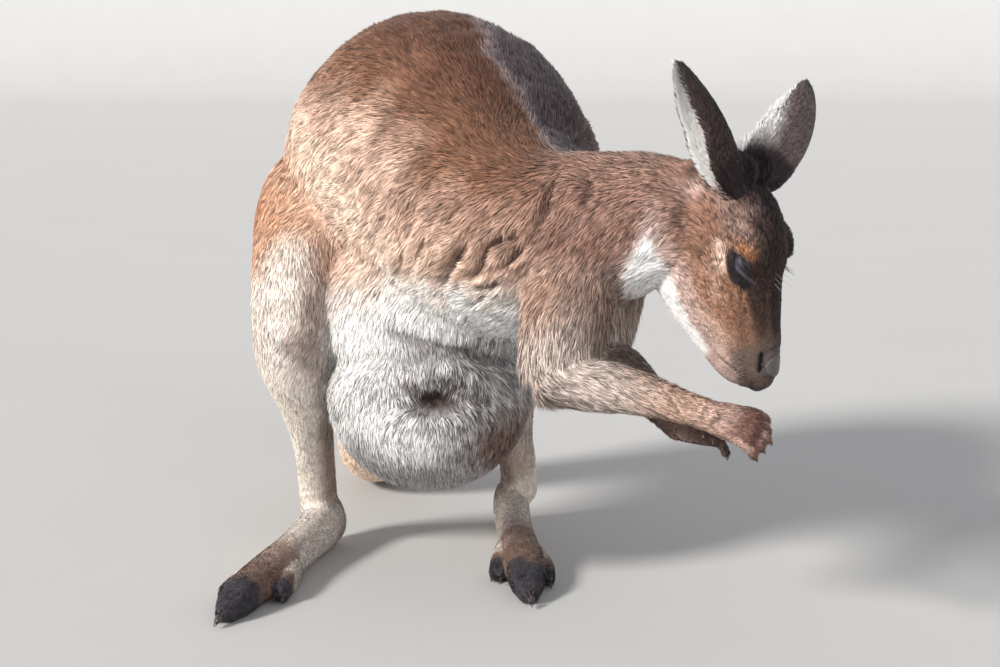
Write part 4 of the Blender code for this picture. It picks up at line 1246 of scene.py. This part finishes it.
PAPER = material("studio floor", (0.52, 0.515, 0.505), 0.85, 0.2, grain=3, bump=0.0001, mottle=0.01)

# ---------------------------------------------------------------- the skin
FLESH_NODES = [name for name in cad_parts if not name.startswith("eye") and "claw" not in name]
SKIN_TRIANGLES = 160e3


def inner_form(surface):
    return surface.points - surface.normals * surface.depth[:, None]


def skin_mesh():
    inner = inner_form(BODY)
    for sign in SIDES.values():
        eye = np.array(shifted(*EYE, sign))
        ray = inner - eye
        sunk = np.linalg.norm(ray, axis=1) < EYE_RADIUS + 0.002
        inner[sunk] = eye + unit(ray[sunk]) * (EYE_RADIUS - 0.0015)
    obj = make_object("skin", inner, BODY.faces)
    weigh(obj, "keep", fineness(BODY.points - np.array(SHIFT)))
    share = SKIN_TRIANGLES / len(BODY.faces)
    modify(obj, "DECIMATE", ratio=share, vertex_group="keep", vertex_group_factor=0.6,
           invert_vertex_group=True)
    mesh = settled(obj)
    points, faces = points_of(mesh), triangles_of(mesh)
    bpy.data.objects.remove(obj)
    colour = BODY.colour[nearest_of(inner, points)] * 0.8
    for ear in EARS:
        faces = np.concatenate([faces, ear.faces + len(points)])
        points = np.concatenate([points, ear.points])
        colour = np.concatenate([colour, ear.colour * 0.95])
    flat = Unwrap(points, faces, 6000)
    chosen = flat.nearest(points[faces].mean(axis=1))
    uv = flat.map(points[faces].reshape(-1, 3), np.repeat(chosen, 3))
    return make_object("skin", points, faces, colour, uv)


skin = skin_mesh()
skin.data.materials.append(SKIN)
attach(skin, "root")
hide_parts(*FLESH_NODES)

# ---------------------------------------------------------------- the coat
COAT_TRIANGLES = 1.38e6
PIECE_TUFTS = 96000
CLUMP_OF = 6
LOWEST_TIP = 0.0006
TUFT_FACES = np.array(((0, 1, 2), (1, 3, 2)))
TUFT_MAP = 0.003 * np.array(((0.5, 0.0), (0.0, 0.4), (1.0, 0.4), (0.5, 1.0)))
# Region of the coat -> slot of the look that it belongs to.
REGIONS = {
    "back": "trunk", "flank_r": "trunk", "flank_l": "trunk", "belly": "pouch", "neck": "neck",
    "thigh_r": "thigh", "thigh_l": "thigh", "legs": "shank", "arms": "upper_arm", "head": "head",
    "tail": "tail", "ears": "ear",
}
REGION_NAMES = list(REGIONS)
HOMES = {"pouch": "belly", "shank": "legs", "foot": "legs", "upper": "arms", "fore": "arms", "hand": "arms"}
NECK_FROM = 0.74  # share of the way along the trunk


def region_of(surface):
    """The number of the region that each point belongs to."""
    if not hasattr(surface, "weights"):
        return np.full(len(surface.points), REGION_NAMES.index("ears"))
    groups = {name: np.zeros(len(surface.points)) for name in REGIONS}
    for part in PARTS:
        if part != "trunk":
            groups[HOMES.get(part.split("_")[0], part)] += surface.of(part)
    trunk = surface.of("trunk")
    neck = surface.share[:, AT["trunk"]] > NECK_FROM
    top = surface.top > 0.25
    right = surface.right > 0
    groups["neck"] += trunk * neck
    groups["back"] += trunk * (~neck & top)
    groups["flank_r"] += trunk * (~neck & ~top & right)
    groups["flank_l"] += trunk * (~neck & ~top & ~right)
    return np.stack(list(groups.values()), axis=1).argmax(axis=1)


def tufts_wanted(surface):
    a, b, c = (surface.points[surface.faces[:, k]] for k in range(3))
    area = 0.5 * np.linalg.norm(np.cross(b - a, c - a), axis=1)
    return area * (surface.density * surface.coat)[surface.faces].mean(axis=1)


def grow(surface, scale):
    """Tufts over a surface: four points each, with colours, normals, roots and the region of each."""
    F = surface.faces
    total = np.cumsum(tufts_wanted(surface) * scale)
    count = int(total[-1])
    pick = np.minimum(np.searchsorted(total, np.arange(count) + RNG.random(count)), len(F) - 1)
    w = RNG.random((count, 2))
    over = w.sum(axis=1) > 1
    w[over] = 1 - w[over]
    w = np.concatenate([1 - w.sum(axis=1, keepdims=True), w], axis=1)

    def at(values):
        corner = values[F[pick]]
        return (corner * (w if values.ndim == 1 else w[:, :, None])).sum(axis=1)

    up = unit(at(surface.normals))
    outer = at(surface.points)
    root = outer - up * at(surface.depth)[:, None]
    swirl = (noise(outer, 0.045, 11) - 0.5) * 0.9 + (noise(outer, 0.016, 12) - 0.5) * 0.5
    swirl = swirl + RNG.normal(0, 0.13, count)
    flow = at(surface.flow)
    flow = unit(flow - up * (flow * up).sum(axis=1, keepdims=True))
    aside = np.cross(up, flow)
    flow = flow * np.cos(swirl)[:, None] + aside * np.sin(swirl)[:, None]
    aside = np.cross(up, flow)
    length = at(surface.length) * np.clip(RNG.normal(1, 0.18, count), 0.5, 1.5)
    lift = np.radians(at(surface.lift)) * np.clip(RNG.normal(1, 0.22, count), 0.3, 1.8)
    width = at(surface.width) * RNG.uniform(0.75, 1.25, count) * 1.0

    def reach(bend):
        return (flow * np.cos(bend)[:, None] + up * np.sin(bend)[:, None]) * (length * 0.5)[:, None]

    middle = root + reach(lift)
    tip = middle + reach(lift * 0.4)

    # Locks: tips drawn towards the tip of the nearest leading tuft.
    leaders = np.nonzero(RNG.random(count) < 1 / CLUMP_OF)[0]
    leader = leaders[nearest_of(root[leaders], root)]
    pull = np.clip(0.24 + 0.4 * (noise(outer, 0.022, 13) - 0.5), 0.05, 0.65)[:, None]
    tip += (tip[leader] - tip) * pull
    middle += (middle[leader] - middle) * pull * 0.35

    roll = RNG.normal(0, 0.45, count)[:, None]
    wide = (aside * np.cos(roll) + up * np.sin(roll)) * (width * 0.5)[:, None]
    blade = unit(np.cross(wide, tip - root))
    blade *= np.sign((blade * up).sum(axis=1, keepdims=True))
    points = np.stack([root, middle - wide, middle + wide, tip], axis=1)
    points[:, :, 2] = np.maximum(points[:, :, 2], LOWEST_TIP)
    facing = unit(up * 0.78 + blade * 0.22 + RNG.normal(0, 0.06, (count, 3)))
    colour = at(surface.colour)
    uneven = at(surface.grizzle)
    bright = 1 + uneven * (RNG.normal(0, 1.05, count) + RNG.normal(0, 1.05, count)[leader])
    bright = np.clip(bright + (noise(outer, 0.028, 14) - 0.5) * 0.16, 0.35, 1.7)
    # Each tuft is darker at its root, as painted shade deep in the coat, and a little lighter at its tip;
    # less so on pale coats.
    pale = np.clip((colour.mean(axis=1) - 0.25) / 0.5, 0, 1)
    shades = np.stack([0.55 + 0.22 * pale, 0.90 + 0.06 * pale, 1.12 - 0.08 * pale], axis=1)[:, (0, 1, 1, 2)]
    return dict(
        points=points,
        normals=np.repeat(facing[:, None], 4, axis=1),
        colours=colour[:, None] * (shades * bright[:, None])[:, :, None],
        root=root,
        region=surface.region[F[pick][:, 0]],
    )


for surface in SURFACES:
    surface.region = region_of(surface)
scale = COAT_TRIANGLES / 2 / sum(tufts_wanted(surface).sum() for surface in SURFACES)
grown = [grow(surface, scale) for surface in SURFACES]
tufts = {key: np.concatenate([g[key] for g in grown]) for key in grown[0]}


def add_piece(obj, mat):
    obj.data.materials.append(mat)
    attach(obj, "root")


def add_coat(name, chosen):
    """One piece of coat, on an unwrap of the skin that it grows from."""
    root = tufts["root"][chosen]
    low, high = root.min(axis=0) - 0.004, root.max(axis=0) + 0.004
    points, faces, base = [], [], 0
    for surface in SURFACES:
        inner = inner_form(surface)
        middle = inner[surface.faces].mean(axis=1)
        wanted = np.isin(surface.region[surface.faces[:, 0]], np.unique(tufts["region"][chosen]))
        kept = surface.faces[((middle > low) & (middle < high)).all(axis=1) & wanted]
        used, index = np.unique(kept, return_inverse=True)
        points.append(inner[used])
        faces.append(index.reshape(-1, 3) + base)
        base += len(used)
    flat = Unwrap(np.concatenate(points), np.concatenate(faces))
    centre = flat.map(root, flat.nearest(root))
    uv = (centre[:, None] + TUFT_MAP - 0.0015)[:, TUFT_FACES.ravel()]
    all_faces = (TUFT_FACES[None] + 4 * np.arange(len(root))[:, None, None]).reshape(-1, 3)
    shape, colours, normals = (tufts[key][chosen].reshape(-1, 3) for key in ("points", "colours", "normals"))
    add_piece(make_object(name, shape, all_faces, colours, uv.reshape(-1, 2), normals), COAT)


for number, (region, slot) in enumerate(REGIONS.items()):
    members = np.nonzero(tufts["region"] == number)[0]
    if not len(members):
        continue
    cuts = math.ceil(len(members) / PIECE_TUFTS)
    members = members[np.argsort(tufts["root"][members, 0], kind="stable")]
    for k, chosen in enumerate(np.array_split(members, cuts)):
        add_coat(f"coat_{region}" + (f"_{k + 1}" if cuts > 1 else ""), chosen)


# ---------------------------------------------------------------- eyelids, nose, lashes, whiskers
def on_eye(axes, theta, phi):
    """The way out of the eye at so much turn up and towards the nose."""
    out, fore, above = axes
    level, raised = math.cos(theta), math.sin(theta)
    return out * level * math.cos(phi) + fore * math.sin(phi) + above * raised * math.cos(phi)


def add_lids(side, rows=26, columns=44):
    """Upper and lower lid as shells over the eyeball, nearly closed, with folds along them."""
    sign = SIDES[side]
    eye = np.array(shifted(*EYE, sign))
    out = np.array(HEAD_FRAME @ Vector((0.10, 0.06, sign))).astype(float)
    out /= np.linalg.norm(out)
    fore = np.array(NOSEWARD) - out * (np.array(NOSEWARD) @ out)
    fore = fore / np.linalg.norm(fore)
    axes = out, fore, np.cross(fore, out) * -sign
    points, faces = [], []
    for rim, margin in ((82, -14), (-82, -24)):  # degrees of each lid's root and edge, above the eye's middle
        base = len(points)
        for i in range(rows):
            s = i / (rows - 1)
            for k in range(columns):
                t = -1 + 2 * k / (columns - 1)
                bow = math.sqrt(max(0.0, 1 - t * t))
                close = math.radians(-17 + (margin + 17) * bow)
                open_ = math.radians(rim) * (0.25 + 0.75 * bow)
                way = on_eye(axes, open_ + (close - open_) * s, math.radians(74) * t)
                fold = 0.00042 * math.sin(s * 17 + 0.6 * math.sin(3 * t)) * s ** 0.5 * bow
                radius = EYE_RADIUS + 0.0010 + fold - 0.0012 * (1 - s) ** 3 - 0.0003 * (s > 0.97)
                points.append(eye + way * radius)
        for edge in points[-columns:]:  # the lid's edge turns in to the eyeball
            points.append(eye + (edge - eye) * ((EYE_RADIUS + 0.00005) / (EYE_RADIUS + 0.0008)))
        for i in range(rows):
            for k in range(columns - 1):
                pair = quad(base + i * columns + k, base + i * columns + k + 1, columns)
                faces += pair if rim > 0 else [face[::-1] for face in pair]
    points, faces = np.array(points), np.array(faces)
    if ((points - eye) * normals_of(points, faces)).sum(axis=1).mean() < 0:
        faces = faces[:, ::-1]
    add_piece(make_object(f"eyelids_{side}", points, faces), LID)
    return axes


def add_hairs(name, hairs, mat, sides=3):
    """Long single hairs as tapered tubes along their points."""
    points, faces = [], []
    for path, thick in hairs:
        base, last = len(points), len(path) - 1
        for k, p in enumerate(path):
            way = unit((path[min(k + 1, last)] - path[max(k - 1, 0)])[None])[0]
            one = unit(np.cross(way, (0.31, 0.52, 0.79))[None])[0]
            two = np.cross(way, one)
            radius = thick * (1 - 0.88 * k / last)
            for j in range(sides):
                turn = 2 * math.pi * j / sides
                points.append(p + (one * math.cos(turn) + two * math.sin(turn)) * radius)
        for k in range(last):
            for j in range(sides):
                faces += quad(base + k * sides + j, base + k * sides + (j + 1) % sides, sides)
        faces += [(base + 2, base + 1, base), tuple(base + last * sides + j for j in range(3))]
    add_piece(make_object(name, np.array(points), np.array(faces)), mat)


def bent(start, way, droop, length, steps=9):
    here, heading = np.array(start, float), unit(np.array(way, float)[None])[0]
    path = [here]
    for _ in range(steps):
        heading = unit((heading + np.array(droop, float) / steps)[None])[0]
        here = here + heading * length / steps
        path.append(here)
    return path


LASHES = 52
LASH_RADIUS = 0.00032
WHISKER_RADIUS = 0.00016
BROW_HAIR_RADIUS = 0.00020
WHISKER_BEDS = (  # along, up and out on the head, how many, how long
    (0.150, -0.018, 0.020, 9, 0.042), (0.138, -0.026, 0.024, 6, 0.038), (0.164, -0.020, 0.016, 5, 0.030),
    (0.085, -0.040, 0.030, 3, 0.040),
)
skin_tree = BVHTree.FromPolygons(BODY.points.tolist(), BODY.faces.tolist())
for side, sign in SIDES.items():
    axes = add_lids(side)
    out, fore, above = axes
    eye = np.array(shifted(*EYE, sign))
    lashes = []
    for k in range(LASHES):
        t = (k + RNG.uniform(-0.4, 0.4)) / (LASHES - 1)
        phi = math.radians(-66 + 104 * t)
        theta = math.radians(4 + 24 * math.sin(math.pi * min(1.0, max(0.0, t))) + RNG.normal(0, 3))
        place = eye + on_eye(axes, theta, phi) * (EYE_RADIUS + 0.0020)
        way = fore * (0.85 - 0.15 * t) - above * (0.40 + 0.30 * t) + out * 0.62 + RNG.normal(0, 0.06, 3)
        droop = fore * 0.35 - out * 0.60 - above * 0.10
        lashes.append((bent(place, way, droop, RNG.uniform(0.016, 0.024)), LASH_RADIUS))
    add_hairs(f"eyelashes_{side}", lashes, LASH)
    whiskers = []
    for along, rise, across, number, long in WHISKER_BEDS:
        for _ in range(number):
            want = shifted(along + RNG.normal(0, 0.006), rise + RNG.normal(0, 0.005), across * 1.6, sign)
            start = skin_tree.find_nearest(want)[0]
            back, down = -0.15 + RNG.normal(0, 0.22), -0.25 + RNG.normal(0, 0.2)
            way = np.array(HEAD_FRAME @ Vector((back, down, sign)))
            whiskers.append((bent(start, way, (0, 0, -0.75), long * RNG.uniform(0.6, 1.1)), WHISKER_RADIUS))
    for k in range(3):
        start = skin_tree.find_nearest(shifted(0.086 + 0.006 * k, 0.034, 0.012, sign))[0]
        way = HEAD_FRAME @ Vector((0.72, 0.50, 0.30 * sign))
        whiskers.append((bent(start, way, (0, 0, -0.1), 0.016), BROW_HAIR_RADIUS))
    add_hairs(f"whiskers_{side}", whiskers, WHISKER)

NOSE_HALF = mm(15, 13, 16.5)
NOSTRIL_PITS = (  # from the nose's centre, and how wide
    (0.0065, -0.0065, 0.0118, 0.0030), (0.0025, -0.0035, 0.0138, 0.0026), (-0.0030, 0.0, 0.0160, 0.0022),
)


def add_nose():
    """The bare pad, a finer copy of the snout's own end, with its two nostrils."""
    centre = np.array(shifted(0.1665, 0.0005, 0))
    size = ellipsoid((BODY.points - centre) @ HEAD_AXES, (0, 0, 0), NOSE_HALF)
    kept = BODY.faces[(size[BODY.faces] < 1).all(axis=1)]
    used, index = np.unique(kept, return_inverse=True)
    obj = make_object("nose", BODY.points[used], index.reshape(-1, 3))
    modify(obj, "SUBSURF", levels=1, render_levels=1)
    mesh = settled(obj)
    points, faces = points_of(mesh), triangles_of(mesh)
    bpy.data.objects.remove(obj)
    local = (points - centre) @ HEAD_AXES
    push = 0.0004 - 0.0022 * step(ellipsoid(local, (0, 0, 0), NOSE_HALF), 0.80, 1.0)
    for sign in (-1, 1):
        for a, r, s, reach in NOSTRIL_PITS:
            far = far_from(local, (a, r, s * sign))
            push -= 0.0042 * np.exp(-((far / reach) ** 2) * 1.2)
    push -= 0.0008 * bell(local[:, 2], 0.0009) * step(-local[:, 1], -0.004, 0.006)
    points = points + normals_of(points, faces) * push[:, None]
    add_piece(make_object("nose", points, faces), NOSE)


add_nose()

# ---------------------------------------------------------------- finishes of the nodes that stay
for name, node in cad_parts.items():
    if name not in FLESH_NODES:
        for slot in node.material_slots:
            slot.material = EYEBALL if name.startswith("eye") else HORN
        modify(node, "SUBSURF", levels=2, render_levels=2)

# ---------------------------------------------------------------- floor, light, camera
# A floor that bends up into a wall far behind, as a studio's paper does.
bend = [(9.0 + 4.0 * math.sin(turn), 4.0 - 4.0 * math.cos(turn)) for turn in np.linspace(0, math.pi / 2, 25)]
sweep = [(-14.0, 0.0), *bend, (13.0, 14.0)]
floor_mesh = bpy.data.meshes.new("floor")
floor_mesh.from_pydata(
    [(x, y, z) for y, z in sweep for x in (-22.0, 22.0)],
    [],
    [(2 * k, 2 * k + 1, 2 * k + 3, 2 * k + 2) for k in range(len(sweep) - 1)],
)
floor_mesh.shade_smooth()
floor = add_object("floor", floor_mesh)
floor_mesh.materials.append(PAPER)


def add_light(name, way, angle, power, colour):
    """A soft far light that shines along a way."""
    light = bpy.data.lights.new(name, "SUN")
    light.angle, light.energy, light.color = math.radians(angle), power, colour
    add_object(name, light).rotation_euler = Vector(way).to_track_quat("-Z", "Y").to_euler()


add_light("key", (0.70, 0.55, -0.50), 12, 4.3, (1.0, 0.975, 0.94))
add_light("fill", (-0.30, 0.92, -0.22), 50, 1.0, (0.96, 0.98, 1.0))
bpy.context.scene.view_settings.view_transform = "Standard"
world = bpy.data.worlds.new("studio")
world.use_nodes = True
world.node_tree.nodes["Background"].inputs["Color"].default_value = (0.90, 0.93, 1.0, 1)
world.node_tree.nodes["Background"].inputs["Strength"].default_value = 0.50
bpy.context.scene.world = world

camera = bpy.data.cameras.new("camera")
camera.lens = 68.4
camera.sensor_width = 36
camera.dof.use_dof = False
view = add_object("camera", camera)
view.location = (-0.0005, -2.2782, 0.62)
view.rotation_euler = (math.radians(90 - 10.1), 0, 0)
bpy.context.scene.camera = view
